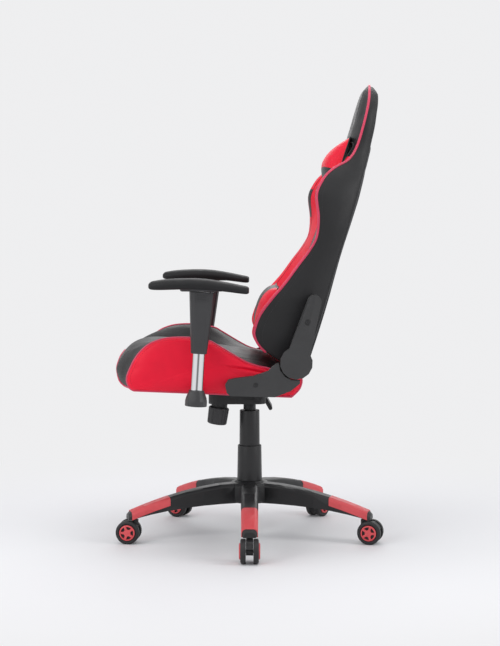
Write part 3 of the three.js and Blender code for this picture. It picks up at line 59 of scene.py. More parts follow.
# Castors
WHEEL_RADIUS = 0.0325
WHEEL_FACETS = 16  # of the solid wheel, whose flats stand on the floor
WHEEL_WIDTH = 0.014
WHEEL_BULGE = 0.0034
WHEEL_SPACING = 0.0196
CAP_RADIUS = 0.021
CAP_RIM = 0.0036
CAP_HUB = 0.0095
CAP_SPOKES = 5
CASTOR_CIRCLE = 0.325
CASTOR_TRAIL = 0.018
CASTOR_YAW = (0, 0, 0, 24, -25)  # degrees from the direction of the leg
AXLE_HOLE = 0.0043

# Column
LOWER_COVER = ((0.0343, 0.1563), (0.0325, 0.253))  # radius and height, bottom and top
UPPER_COVER = ((0.0284, 0.21), (0.0272, 0.35))
COVER_WALL = 0.0024
COVER_LIP = 0.0015
CYLINDER_BORE = 0.0256  # inside the upper cover, which passes over the gas cylinder
TUBE_BORE = 0.0146

# Tension knob
SPRING_LEAN = 8
CUP_FRONT = 0.082
CUP_BOTTOM = 0.372
CUP_HEIGHT = 0.027
KNOB_RADIUS = 0.0285
KNOB_HEIGHT = 0.048
KNOB_FLUTES = 12
FLUTE_DEPTH = 0.0026

# Seat
SEAT_HEIGHT = 0.42
SEAT_RAKE = 2.3
SEAT_HALF_WIDTH = 0.262
SEAT_FRONT = 0.357
SEAT_SIDE_FRONT = 0.319
SEAT_REAR = 0.131
SEAT_CREST = 0.142
SEAT_CROWN = 0.116
SEAT_MIDDLE = 0.15
SEAT_SAG = 0.009
CREST_INSET = 0.019  # how far the crest piping lies inside the widest line
UNDER_RECESS = 0.0003

# Back
PIVOT_REAR = 0.12
PIVOT_HEIGHT = 0.507
BACK_LEAN = 15.2
BACK_LENGTH = 0.753
BACK_HALF_WIDTH = 0.258
WING_REACH = 0.132
REAR_DEPTH = 0.05
VALLEY = 0.005
SLOT_INNER = 0.09
SLOT_OUTER = 0.122
SLOT_BOTTOM = 0.528
SLOT_TOP = 0.588
SLOT_CORNER = 0.012
SLOT_RIM_RADIUS = 0.0026
SLOT_RIM = 0.0012  # from the opening's edge to the middle of its rim

# Pillows: half width, bottom, top, front and depth in the back's frame
NECK_PILLOW = (0.124, 0.4398, 0.6038, 0.061, 0.042)
LUMBAR_PILLOW = (0.15, 0.016, 0.168, 0.132, 0.08)
NECK_RIM = (-0.0185, -0.012)  # the edge's depth in the back's frame, bottom and top
NECK_REAR = 0.0008
NECK_LOWER_SHARE = -0.15  # of the half height, below which the neck pillow is black
LUMBAR_END_SHARE = 0.6  # of the half width, beyond which the lumbar pillow is red
PILLOW_PULL = 0.035

# Hinge screws: place from the side, and size of their caps
SEAT_SCREW = (0.016, 0.451)
BACK_SCREW = (0.148, 0.614)
SCREW_CAP_RADIUS = 0.0075
SCREW_CAP_RISE = 0.0016

# Armrests
ARM_OFFSET = 0.317
ARM_FRONT = 0.136
ARM_DROP = 0.0245
ARM_LEAN = 1.2
FOOT_RADIUS = 0.028
FOOT_NECK_RADIUS = 0.019
FOOT_HEIGHT = 0.04
TUBE_WIDTH = 0.031
TUBE_THICKNESS = 0.02
TUBE_TOP = 0.212
BAR_WIDTH = 0.038
BAR_THICKNESS = 0.008
BAR_INNER = 0.15
SLEEVE_BOTTOM = 0.134
SLEEVE_TOP = 0.29
SLEEVE_WIDTHS = (0.041, 0.066)
SLEEVE_DEPTHS = (0.031, 0.044)
PAD_LENGTH = 0.255
PAD_WIDTH = 0.09
PAD_THICKNESS = 0.027
PAD_FRONT = 0.137
PLATE_LENGTH = 0.118
PLATE_WIDTH = 0.062
PLATE_TOP = 0.0085
PLATE_TAPER = 0.004

# Sewing
SEAT_PIPE_RADIUS = 0.0032
BACK_PIPE_RADIUS = 0.0034
WELT_RADIUS = 0.0022
SEAM_RADIUS = 0.0011
PIPE_SPACING = 0.004  # between the rings of a piping
FRONT_PIPE_TOP = 0.081  # height of the piping across the seat's nose, in its middle
FRONT_PIPE_REACH = 0.165  # where it comes down to the lower edge
FRONT_PIPE_LOW = 0.0015
FRONT_PIPE_BOW = 1.6
STITCH_LENGTH = 0.0044
STITCH_PITCH = 0.0066
STITCH_RADIUS = 0.0005
STITCH_MARGIN = 0.007  # from a piping or seam to its stitches
SINK = 0.0006


# Places
def moved(*place):
    return Matrix.Translation(place)


def turned_x(degrees):
    return Matrix.Rotation(math.radians(degrees), 4, "X")


SEAT = moved(0, 0, SEAT_HEIGHT) @ turned_x(-SEAT_RAKE)
BACK = moved(0, PIVOT_REAR, PIVOT_HEIGHT) @ turned_x(-BACK_LEAN)
SPRING = moved(0, -CUP_FRONT, CUP_BOTTOM) @ turned_x(-SPRING_LEAN)


def arm_frame(side):
    return SEAT @ moved(side * ARM_OFFSET, -ARM_FRONT, -ARM_DROP) @ turned_x(-ARM_LEAN)


def pad_frame(side):
    lift = HAIR + SLEEVE_WIDTHS[1] / 2 * math.tan(math.radians(ARM_LEAN + SEAT_RAKE))
    return arm_frame(side) @ moved(0, 0, SLEEVE_TOP + lift) @ turned_x(ARM_LEAN + SEAT_RAKE)


# Camera, light and floor
def build_camera():
    data = bpy.data.cameras.new("camera")
    data.sensor_fit = "VERTICAL"
    data.sensor_height = SENSOR
    data.lens = FOCAL_PIXELS * SENSOR / PHOTO_HEIGHT
    camera = bpy.data.objects.new("camera", data)
    bpy.context.scene.collection.objects.link(camera)
    camera.location = CAMERA_PLACE
    pitch = math.radians(CAMERA_PITCH)
    aim = Vector((-math.cos(pitch), 0, -math.sin(pitch)))
    camera.rotation_euler = aim.to_track_quat("-Z", "Y").to_euler()
    bpy.context.scene.camera = camera


build_camera()


# Materials
class Shader:
    """The node tree of one material, with short ways to add the nodes used here."""

    def __init__(self, name, color, roughness, metallic=0.0, specular=0.5):
        self.material = bpy.data.materials.new(name)
        self.material.use_nodes = True
        self.tree = self.material.node_tree
        self.surface = self.tree.nodes["Principled BSDF"]
        self.color = color
        self.set("Base Color", (*color, 1))
        self.set("Roughness", roughness)
        self.set("Metallic", metallic)
        self.set("Specular IOR Level", specular)
        place = self.tree.nodes.new("ShaderNodeTexCoord")
        self.place = place.outputs["Object"]
        self.bump_normal = None

    def set(self, socket, value):
        self.surface.inputs[socket].default_value = value

    def link(self, source, target):
        self.tree.links.new(source, target)

    def noise(self, size, detail=3.0, stretch=(1, 1, 1)):
        mapping = self.tree.nodes.new("ShaderNodeMapping")
        mapping.inputs["Scale"].default_value = stretch
        node = self.tree.nodes.new("ShaderNodeTexNoise")
        node.inputs["Scale"].default_value = 1 / size
        node.inputs["Detail"].default_value = detail
        self.link(self.place, mapping.inputs["Vector"])
        self.link(mapping.outputs["Vector"], node.inputs["Vector"])
        return node.outputs["Fac"]

    def cells(self, size):
        node = self.tree.nodes.new("ShaderNodeTexVoronoi")
        node.feature = "DISTANCE_TO_EDGE"
        node.inputs["Scale"].default_value = 1 / size
        self.link(self.place, node.inputs["Vector"])
        return node.outputs["Distance"]

    def ramp(self, source, low, high, start=0.0, end=1.0):
        node = self.tree.nodes.new("ShaderNodeMapRange")
        for socket, value in zip(("From Min", "From Max", "To Min", "To Max"), (start, end, low, high)):
            node.inputs[socket].default_value = value
        self.link(source, node.inputs["Value"])
        return node.outputs["Result"]

    def vary_color(self, source, shade, start=0.3, end=0.7):
        node = self.tree.nodes.new("ShaderNodeMix")
        node.data_type = "RGBA"
        node.inputs["A"].default_value = (*[c * (1 - shade) for c in self.color], 1)
        node.inputs["B"].default_value = (*[min(1, c * (1 + shade)) for c in self.color], 1)
        self.link(self.ramp(source, 0, 1, start, end), node.inputs["Factor"])
        self.link(node.outputs["Result"], self.surface.inputs["Base Color"])

    def paint_reflection_by_facing_x(self, stops):
        """Paints a reflection into the colour: scales it by how squarely the surface faces along X."""
        geometry = self.tree.nodes.new("ShaderNodeNewGeometry")
        parts = self.tree.nodes.new("ShaderNodeSeparateXYZ")
        size = self.tree.nodes.new("ShaderNodeMath")
        size.operation = "ABSOLUTE"
        self.link(geometry.outputs["Normal"], parts.inputs[0])
        self.link(parts.outputs["X"], size.inputs[0])
        node = self.tree.nodes.new("ShaderNodeValToRGB")
        marks = node.color_ramp.elements
        while len(marks) < len(stops):
            marks.new(1)
        for mark, (position, share) in zip(marks, stops):
            mark.position = position
            mark.color = (*[c * share for c in self.color], 1)
        self.link(size.outputs[0], node.inputs["Fac"])
        self.link(node.outputs["Color"], self.surface.inputs["Base Color"])

    def vary_roughness(self, source, low, high):
        self.link(self.ramp(source, low, high, 0.3, 0.7), self.surface.inputs["Roughness"])

    def bump(self, source, depth, strength=0.5):
        node = self.tree.nodes.new("ShaderNodeBump")
        node.inputs["Strength"].default_value = strength
        node.inputs["Distance"].default_value = depth
        self.link(source, node.inputs["Height"])
        if self.bump_normal:
            self.link(self.bump_normal, node.inputs["Normal"])
        self.bump_normal = node.outputs["Normal"]
        self.link(self.bump_normal, self.surface.inputs["Normal"])


def leather(name, color, roughness, specular=0.3, coat=0.04):
    shader = Shader(name, color, roughness, specular=specular)
    shader.vary_color(shader.noise(0.09, 4), 0.08)
    shader.vary_roughness(shader.noise(0.03, 5), roughness - 0.05, roughness + 0.07)
    shader.bump(shader.noise(0.05, 3), 0.0012, 0.35)
    shader.bump(shader.ramp(shader.cells(0.0014), 0, 1, 0, 0.12), 0.00012, 0.55)
    shader.bump(shader.noise(0.0005, 2), 0.00005, 0.4)
    shader.set("Coat Weight", coat)
    shader.set("Coat Roughness", 0.35)
    return shader.material


def plastic(name, color, roughness, grain=0.0009, specular=0.35):
    shader = Shader(name, color, roughness, specular=specular)
    shader.vary_color(shader.noise(0.06, 4), 0.07)
    shader.vary_roughness(shader.noise(0.02, 5), roughness - 0.05, roughness + 0.06)
    shader.bump(shader.noise(grain, 3), 0.00006, 0.5)
    return shader.material


def metal(name, color, roughness, stretch=(1, 1, 1), metallic=1.0):
    shader = Shader(name, color, roughness, metallic)
    shader.vary_roughness(shader.noise(0.004, 4, stretch), roughness * 0.8, roughness * 1.3)
    shader.bump(shader.noise(0.002, 3, stretch), 0.00002, 0.3)
    return shader.material


def chrome():
    """Polished plate, with a painted reflection: a dark line painted along its outer face where a dim room
    would show, and its sides painted darker as they turn away from X.
    """
    shader = Shader("chrome_tube", (0.8, 0.81, 0.83), 0.07, 1.0)
    # painted reflection: the colour darkens where the normal points straight along X and where it turns away
    # from X
    shader.paint_reflection_by_facing_x(((0, 0.3), (0.6, 0.55), (0.9, 1), (0.991, 1), (0.998, 0.25)))
    shader.vary_roughness(shader.noise(0.004, 4, (1, 1, 0.05)), 0.05, 0.1)
    shader.bump(shader.noise(0.002, 3, (1, 1, 0.05)), 0.00002, 0.3)
    return shader.material


def webbing(name, color):
    shader = Shader(name, color, 0.8, specular=0.2)
    shader.vary_color(shader.noise(0.002, 3), 0.2)
    weave = shader.tree.nodes.new("ShaderNodeTexWave")
    weave.inputs["Scale"].default_value = 1 / 0.0035
    shader.link(shader.place, weave.inputs["Vector"])
    shader.bump(weave.outputs["Fac"], 0.0003, 0.5)
    shader.set("Sheen Weight", 0.2)
    return shader.material


BLACK_LEATHER = leather("black_leather", (0.014, 0.014, 0.015), 0.47, 0.28)
RED_LEATHER = leather("red_leather", (0.8, 0.003, 0.03), 0.48, 0.25)
# grey welt, lighter than the black leather: a painted rim highlight along the back's rear edge
WELT_PAINTED_RIM_LIGHT = leather("welt_painted_rim_light", (0.06, 0.06, 0.062), 0.5)
# the piping is paler pink than the red panels: its own red with a painted highlight along the round piping
RED_PIPING_PAINTED_HIGHLIGHT = leather("red_piping_painted_highlight", (0.62, 0.045, 0.105), 0.42, 0.35)
SEAM_DARK = leather("seam_dark", (0.01, 0.01, 0.011), 0.6, 0.2)
BLACK_THREAD = webbing("black_thread", (0.03, 0.03, 0.032))
RED_THREAD = webbing("red_thread", (0.5, 0.012, 0.04))
LINING = webbing("black_lining", (0.02, 0.02, 0.021))
BLACK_PLASTIC = plastic("black_plastic", (0.016, 0.016, 0.017), 0.42)
COVER_PLASTIC = plastic("cover_plastic", (0.02, 0.02, 0.021), 0.36)
HINGE_PLASTIC = plastic("hinge_plastic", (0.04, 0.04, 0.041), 0.6)
ARM_PLASTIC = plastic("arm_plastic", (0.04, 0.04, 0.042), 0.45)
PAD_SKIN = plastic("pad_skin", (0.014, 0.014, 0.015), 0.6, 0.0006, 0.25)
RED_PLASTIC = plastic("red_plastic", (0.66, 0.083, 0.094), 0.45)
TREAD = plastic("castor_tread", (0.02, 0.02, 0.021), 0.5)
BLACK_STEEL = metal("black_steel", (0.014, 0.014, 0.015), 0.5, metallic=0.2)
ZINC = metal("zinc_steel", (0.55, 0.56, 0.58), 0.3)
CHROME = chrome()


# Mesh helpers
# The faces of a box whose corners are listed by Z, then Y, then X
BOX_FACES = ((0, 2, 3, 1), (4, 5, 7, 6), (0, 1, 5, 4), (2, 6, 7, 3), (0, 4, 6, 2), (1, 3, 7, 5))


def new_piece(name, vertices, faces, materials, indices=None, smooth=True, place=None):
    mesh = bpy.data.meshes.new(name)
    mesh.from_pydata([tuple(v) for v in vertices], [], [tuple(f) for f in faces])
    mesh.validate()
    for material in materials:
        mesh.materials.append(material)
    if indices is not None:
        mesh.polygons.foreach_set("material_index", np.asarray(indices, np.int32))
    piece = bpy.data.objects.new(name, mesh)
    bpy.context.scene.collection.objects.link(piece)
    if place is not None:
        mesh.transform(place)
    face_outwards(mesh)
    if smooth:
        mesh.shade_smooth()
        mesh.set_sharp_from_angle(angle=math.radians(SMOOTH_ANGLE))
    return piece


def face_outwards(mesh):
    work = bmesh.new()
    work.from_mesh(mesh)
    bmesh.ops.recalc_face_normals(work, faces=work.faces)
    work.to_mesh(mesh)
    work.free()


def finish_piece(piece, body, slot, *nodes):
    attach(piece, body)
    if nodes:
        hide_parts(*nodes)
    return piece


def add_modifier(piece, kind, **settings):
    modifier = piece.modifiers.new(kind.lower(), kind)
    for name, value in settings.items():
        setattr(modifier, name, value)
    return modifier


def apply_modifiers(piece):
    depsgraph = bpy.context.evaluated_depsgraph_get()
    mesh = bpy.data.meshes.new_from_object(piece.evaluated_get(depsgraph))
    piece.modifiers.clear()
    piece.data = mesh
    return piece


def joined(name, parts):
    """One piece from several meshes, each with its own materials."""
    vertices, faces, materials, indices = [], [], [], []
    for part in parts:
        first = len(vertices)
        mesh = part.data
        vertices += [v.co.copy() for v in mesh.vertices]
        for polygon in mesh.polygons:
            faces.append([first + v for v in polygon.vertices])
            material = mesh.materials[polygon.material_index]
            if material not in materials:
                materials.append(material)
            indices.append(materials.index(material))
        bpy.data.objects.remove(part)
    return new_piece(name, vertices, faces, materials, indices)


def is_side_corner(edge):
    """Whether an edge runs across the chair and bends the outline seen from the side."""
    if len(edge.link_faces) != 2 or edge.calc_face_angle() < math.radians(CORNER_ANGLE):
        return False
    start, end = edge.verts
    return abs((end.co - start.co).normalized().x) > 0.97


def refined(node, material, edge=EDGE_ROUND, corner=0):
    """A copy of a hard CAD node with rounded edges, and corners seen from the side, if asked."""
    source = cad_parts[node]
    vertices = [v.co for v in source.data.vertices]
    faces = [list(p.vertices) for p in source.data.polygons]
    piece = new_piece(f"{node}_shell", vertices, faces, [material], smooth=False)
    work = bmesh.new()
    work.from_mesh(piece.data)
    bmesh.ops.remove_doubles(work, verts=work.verts, dist=HAIR / 10)
    bmesh.ops.dissolve_limit(
        work, angle_limit=math.radians(1), verts=work.verts, edges=work.edges
    )
    if corner:
        bends = [e for e in work.edges if is_side_corner(e)]
        bmesh.ops.bevel(
            work, geom=bends, offset=corner, segments=4, profile=0.5, affect="EDGES", clamp_overlap=True
        )
    work.to_mesh(piece.data)
    work.free()
    add_modifier(
        piece,
        "BEVEL",
        width=edge,
        segments=2,
        limit_method="ANGLE",
        angle_limit=math.radians(SMOOTH_ANGLE),
        miter_outer="MITER_ARC",
    )
    apply_modifiers(piece)
    piece.data.shade_smooth()
    piece.data.set_sharp_from_angle(angle=math.radians(SMOOTH_ANGLE))
    return piece


# Curves
def follow(rows, at):
    """Smooth values of a table's other columns at values of the first, which rises."""
    rows = np.asarray(rows, float)
    at = np.asarray(at, float)
    keys = rows[:, 0]
    last = len(keys) - 1
    before = np.maximum(np.arange(last + 1) - 1, 0)
    after = np.minimum(np.arange(last + 1) + 1, last)
    slopes = (rows[after] - rows[before]) / (keys[after] - keys[before])[:, None]
    i = np.clip(np.searchsorted(keys, at, side="left") - 1, 0, last - 1)
    width = (keys[i + 1] - keys[i])[:, None]
    t = (at - keys[i])[:, None] / width
    ease = t * t * (3 - 2 * t)
    leave = t * (1 - t) ** 2 * width * slopes[i]
    arrive = t * t * (t - 1) * width * slopes[i + 1]
    return (rows[i] + (rows[i + 1] - rows[i]) * ease + leave + arrive)[:, 1:]


def through(points, steps, closed=False):
    """Points on a smooth curve through the given ones, with the same steps between each two."""
    points = np.asarray(points, float)
    if closed:
        around = np.concatenate([points[-2:], points, points[:3]])
    else:
        around = points
    spans = np.linalg.norm(np.diff(around, axis=0), axis=1)
    keys = np.concatenate([[0], np.cumsum(np.maximum(spans, 1e-6))])
    rows = np.column_stack([keys, around])
    start, end = (2, 2 + len(points)) if closed else (0, len(points) - 1)
    shares = np.arange(steps) / steps
    at = np.concatenate([keys[i] + (keys[i + 1] - keys[i]) * shares for i in range(start, end)])
    if not closed:
        at = np.append(at, keys[end])
    return follow(rows, at)


def evenly_along(points, spacing, closed=False):
    points = np.asarray(points, float)
    if closed:
        points = np.concatenate([points, points[:1]])
    lengths = np.concatenate([[0], np.cumsum(np.linalg.norm(np.diff(points, axis=0), axis=1))])
    count = max(2, int(round(lengths[-1] / spacing)))
    at = np.linspace(0, lengths[-1], count + 1)
    spread = np.column_stack([np.interp(at, lengths, points[:, k]) for k in range(3)])
    return spread[:-1] if closed else spread


def frames_along(points, closed):
    """Tangents and two cross directions that turn as little as possible along the path."""
    points = np.asarray(points, float)
    if closed:
        tangents = np.roll(points, -1, 0) - np.roll(points, 1, 0)
    else:
        tangents = np.gradient(points, axis=0)
    tangents /= np.linalg.norm(tangents, axis=1)[:, None]
    start = np.cross(tangents[0], (0.3, 0.5, 0.8))
    sides = [start / np.linalg.norm(start)]
    for tangent in tangents[1:]:
        side = sides[-1] - tangent * np.dot(tangent, sides[-1])
        sides.append(side / np.linalg.norm(side))
    sides = np.array(sides)
    return tangents, sides, np.cross(tangents, sides)


def tube(name, points, radius, material, closed=False, sides=10):
    tangents, across, up = frames_along(points, closed)
    angles = np.linspace(0, 2 * math.pi, sides, endpoint=False)
    if closed:
        # spread the twist that the closed path leaves over the whole tube
        end = across[-1] - tangents[0] * np.dot(tangents[0], across[-1])
        twist = math.atan2(np.dot(np.cross(across[0], end), tangents[0]), np.dot(across[0], end))
        turns = -np.linspace(0, twist, len(points), endpoint=False)
    else:
        turns = np.zeros(len(points))
    vertices = []
    for point, a, b, turn in zip(np.asarray(points), across, up, turns):
        for angle in angles + turn:
            vertices.append(point + radius * (a * math.cos(angle) + b * math.sin(angle)))
    faces = grid_faces(len(points), sides, closed, True)
    if not closed:
        faces.append(list(range(sides))[::-1])
        faces.append([len(vertices) - sides + j for j in range(sides)])
    return new_piece(name, vertices, faces, [material])


def grid_faces(rows, columns, rows_closed, columns_closed):
    faces = []
    for i in range(rows if rows_closed else rows - 1):
        for j in range(columns if columns_closed else columns - 1):
            a, b = i * columns + j, i * columns + (j + 1) % columns
            c, d = (i + 1) % rows * columns, columns
            faces.append([a, b, c + (j + 1) % d, c + j % d])
    return faces


def lathe(name, profile, material, place=None, sides=ROUND, closed=False):
    """A body turned round Z from radius and height pairs, closed to the axis or to itself."""
    vertices = []
    for radius, height in profile:
        for k in range(sides):
            angle = 2 * math.pi * k / sides
            vertices.append((radius * math.cos(angle), radius * math.sin(angle), height))
    faces = grid_faces(len(profile), sides, closed, True)
    if not closed:
        faces.append(list(range(sides))[::-1])
        faces.append([len(vertices) - sides + k for k in range(sides)])
    return new_piece(name, vertices, faces, [material], place=place)


def rounded(profile, radius, steps=3):
    """A radius and height profile whose inner corners are cut round."""
    points = np.asarray(profile, float)
    result = [points[0]]
    for before, corner, after in zip(points, points[1:], points[2:]):
        reach = min(
            radius,
            np.linalg.norm(before - corner) / 2,
            np.linalg.norm(after - corner) / 2,
        )
        start = corner + (before - corner) / np.linalg.norm(before - corner) * reach
        end = corner + (after - corner) / np.linalg.norm(after - corner) * reach
        for t in np.linspace(0, 1, steps + 1):
            result.append((1 - t) ** 2 * start + 2 * t * (1 - t) * corner + t * t * end)
    result.append(points[-1])
    return [tuple(p) for p in result]


# Sewing
def surface_of(piece):
    depsgraph = bpy.context.evaluated_depsgraph_get()
    evaluated = piece.evaluated_get(depsgraph)
    mesh = evaluated.to_mesh()
    vertices = [piece.matrix_world @ v.co for v in mesh.vertices]
    tree = BVHTree.FromPolygons(vertices, [tuple(p.vertices) for p in mesh.polygons])
    evaluated.to_mesh_clear()
    return tree


def laid_on(tree, points, lift):
    """The points moved onto a surface, and the surface's normals there."""
    places, normals = [], []
    for point in points:
        place, normal, _, _ = tree.find_nearest(Vector(point))
        places.append(np.array(place + normal * lift))
        normals.append(np.array(normal))
    return np.array(places), np.array(normals)


def stitches(name, tree, points, material, closed=False):
    """A row of thread stitches that lie on a surface along a path."""
    path = evenly_along(points, STITCH_PITCH, closed)
    places, normals = laid_on(tree, path, 0)
    vertices, faces = [], []
    # share of the stitch's length, share of the thread's thickness, rise in thread radii
    rings = ((-0.5, 0.35, -0.6), (-0.3, 0.95, 0.45), (0.3, 0.95, 0.45), (0.5, 0.35, -0.6))
    sides = 5
    for i in range(len(places) - (0 if closed else 1)):
        here, there = places[i], places[(i + 1) % len(places)]
        along = there - here
        length = np.linalg.norm(along)
        if length < STITCH_LENGTH or length > 2 * STITCH_PITCH:
            continue
        along /= length
        normal = normals[i] - along * np.dot(along, normals[i])
        normal /= np.linalg.norm(normal)
        across = np.cross(along, normal)
        middle = (here + there) / 2
        first = len(vertices)
        for share, thick, rise in rings:
            centre = middle + along * STITCH_LENGTH * share + normal * STITCH_RADIUS * rise
            for k in range(sides):
                angle = 2 * math.pi * k / sides
                spoke = across * math.cos(angle) + normal * math.sin(angle)
                vertices.append(centre + spoke * STITCH_RADIUS * thick)
        faces += [[first + v for v in f] for f in grid_faces(len(rings), sides, False, True)]
        faces.append([first + k for k in range(sides)][::-1])
        faces.append([first + (len(rings) - 1) * sides + k for k in range(sides)])
    return new_piece(name, vertices, faces, [material])


def stitch_row(name, tree, points, place, body, slot, closed=False):
    line = np.array([place @ Vector(p) for p in points])
    thread = RED_THREAD if slot == "red_leather" else BLACK_THREAD
    finish_piece(stitches(name, tree, line, thread, closed), body, slot)


def piped(name, points, place, body, slot, radius, material, closed=True):
    """A round piping along points given in a body's own frame."""
    line = np.array([place @ Vector(p) for p in points])
    path = evenly_along(line, PIPE_SPACING, closed)
    finish_piece(tube(name, path, radius, material, closed), body, slot)


# Padding
def puffed(piece, pinned, cap, pressure=4.0):
    """Blows the padding up between its seams with a short cloth simulation."""
    group = piece.vertex_groups.new(name="seams")
    for index, weight in pinned.items():
        group.add([index], weight, "REPLACE")
    rest = np.array([v.co for v in piece.data.vertices])
    cloth = piece.modifiers.new("padding", "CLOTH")
    settings = cloth.settings
    settings.quality = 4
    settings.mass = 0.3
    settings.tension_stiffness = 20
    settings.compression_stiffness = 20
    settings.shear_stiffness = 8
    settings.bending_stiffness = 2
    settings.use_pressure = True
    settings.uniform_pressure_force = pressure
    settings.effector_weights.gravity = 0
    settings.vertex_group_mass = group.name
    scene = bpy.context.scene
    for step in range(1, 21):
        scene.frame_set(step)
    depsgraph = bpy.context.evaluated_depsgraph_get()
    after = np.array([v.co for v in piece.evaluated_get(depsgraph).data.vertices])
    piece.modifiers.clear()
    piece.vertex_groups.clear()
    scene.frame_set(1)
    shift = after - rest
    length = np.linalg.norm(shift, axis=1)[:, None]
    shift *= np.minimum(1, cap / np.maximum(length, 1e-9))
    piece.data.vertices.foreach_set("co", (rest + shift).ravel())
    piece.data.update()
    return piece


def subdivided(piece, levels=1, crease=()):
    if len(crease):
        edges = {tuple(sorted(e)) for e in crease}
        attribute = piece.data.attributes.new("crease_edge", "FLOAT", "EDGE")
        values = [float(tuple(sorted(e.vertices)) in edges) for e in piece.data.edges]
        attribute.data.foreach_set("value", values)
    add_modifier(piece, "SUBSURF", levels=levels, render_levels=levels)
    return apply_modifiers(piece)


# Seat: the outlines of side and middle, in shares of length from the front and of height
BOLSTER_SHARES = (
    (0.042, 0), (0.02, 0.038), (0, 0.204), (0.022, 0.43), (0.056, 0.64), (0.104, 0.81),
    (0.153, 0.905), (0.224, 0.975), (0.347, 1), (0.469, 0.95), (0.518, 0.873),
    (0.602, 0.725), (0.686, 0.59), (0.751, 0.53), (0.824, 0.485), (0.875, 0.39),
    (0.931, 0.339), (1, 0.352), (0.996, 0.171), (0.951, 0),
)
MIDDLE_SHARES = (
    (0.045, 0), (0.022, 0.108), (0, 0.36), (0.007, 0.569), (0.016, 0.654), (0.05, 0.834),
    (0.11, 0.966), (0.166, 1), (0.291, 0.974), (0.424, 0.922), (0.506, 0.888),
    (0.588, 0.853), (0.67, 0.819), (0.742, 0.793), (0.803, 0.741), (0.867, 0.569),
    (0.92, 0.397), (1, 0.345), (0.996, 0.172), (0.955, 0),
)
# From the middle outwards: share of the half width, share of the way to the side's outline,
# share of the sag
ACROSS_SHARES = (
    (0, 0, 0), (0.3, 0, 0.2), (0.5, 0.02, 0.8), (0.573, 0.06, 1), (0.68, 0.38, 0.5),
    (0.79, 0.78, 0), (0.88, 0.97, 0), (0.95, 1, 0), (1, 1, 0),
)
SEAT_STEPS = 5  # between two points of an outline
TOP_RUN = slice(3 * SEAT_STEPS, 17 * SEAT_STEPS)  # the steps of an outline that show from above
SEAT_FLAT_SHARE = 0.5
PANEL_STITCH_SHARE = 0.955  # of the side panel's size
# The outer side from the crest piping to its middle: share of the outline's size, share of
# the way from the piping to the widest line
SIDE_DOME_SHARES = (
    (1, 0), (0.985, 0.34), (0.95, 0.62), (0.89, 0.83), (0.8, 0.95), (0.65, 1), (0.45, 0.99),
    (0.25, 0.97), (0.1, 0.97),
)


def seat_outline(x):
    share = min(1, abs(x) / SEAT_HALF_WIDTH)
    to_side, sag = follow(ACROSS_SHARES, [share])[0]
    to_side = min(1, to_side)
    points = []
    for (along, up), (middle_along, middle_up) in zip(BOLSTER_SHARES, MIDDLE_SHARES):
        side_y = -SEAT_SIDE_FRONT + (SEAT_REAR + SEAT_SIDE_FRONT) * along
        middle_y = -SEAT_FRONT + (SEAT_REAR + SEAT_FRONT) * middle_along
        drop = SEAT_SAG * sag if middle_up > SEAT_FLAT_SHARE else 0
        middle_z = max(0, SEAT_CROWN * middle_up - drop)
        side_z = SEAT_CREST * up
        points.append((
            x,
            middle_y + (side_y - middle_y) * to_side,
            middle_z + (side_z - middle_z) * to_side,
        ))
    return np.array(points)


def seat_curve(x):
    """The outline with smooth top, front and rear and a flat underside."""
    return through(seat_outline(x), SEAT_STEPS)


def capped(rows, columns):
    """Faces over the two end rings, whose points mirror each other about their middle."""
    faces = []
    for first, turn in ((0, 1), ((rows - 1) * columns, -1)):
        for j in range(columns // 2 - 1):
            a, b = first + j, first + j + 1
            c, d = first + columns - 2 - j, first + columns - 1 - j
            face = [a, b, c, d] if len({a, b, c, d}) == 4 else [a, b, d]
            faces.append(face[::turn])
    return faces


def build_seat():
    middle = np.linspace(-SEAT_MIDDLE, SEAT_MIDDLE, 31)
    rows = [seat_curve(x) for x in middle]
    count = len(rows[0])
    vertices = [p for row in rows for p in row]
    faces = grid_faces(len(rows), count, False, True) + capped(len(rows), count)
    under = {j for j in range(count) if max(row[j][2] for row in rows) < UNDER_RECESS}
    piece = new_piece("seat_middle", vertices, faces, [BLACK_LEATHER, LINING])
    pins = {
        i * count + j: 1.0
        for i in range(len(rows))
        for j in range(count)
        if i in (0, len(rows) - 1) or j in under
    }
    puffed(piece, pins, 0.007)
    for polygon in piece.data.polygons:
        if all(v % count in under for v in polygon.vertices):
            polygon.material_index = 1
    seams = [
        (i * count + j, i * count + j + 1) for i in (0, len(rows) - 1) for j in range(count - 1)
    ]
    subdivided(piece, 1, seams)
    piece.data.transform(SEAT)
    finish_piece(piece, "seat", "black_leather", "seat_cushion")

    tree = surface_of(piece)
    for side, name in ((1, "left"), (-1, "right")):
        row = seat_curve(side * (SEAT_MIDDLE - STITCH_MARGIN))
        row[:, 0] = side * (SEAT_MIDDLE - STITCH_MARGIN)
        stitch_row(f"seat_stitches_inner_{name}", tree, row[TOP_RUN], SEAT, "seat", "black_leather")
        build_bolster(side, name)
    build_front_piping()


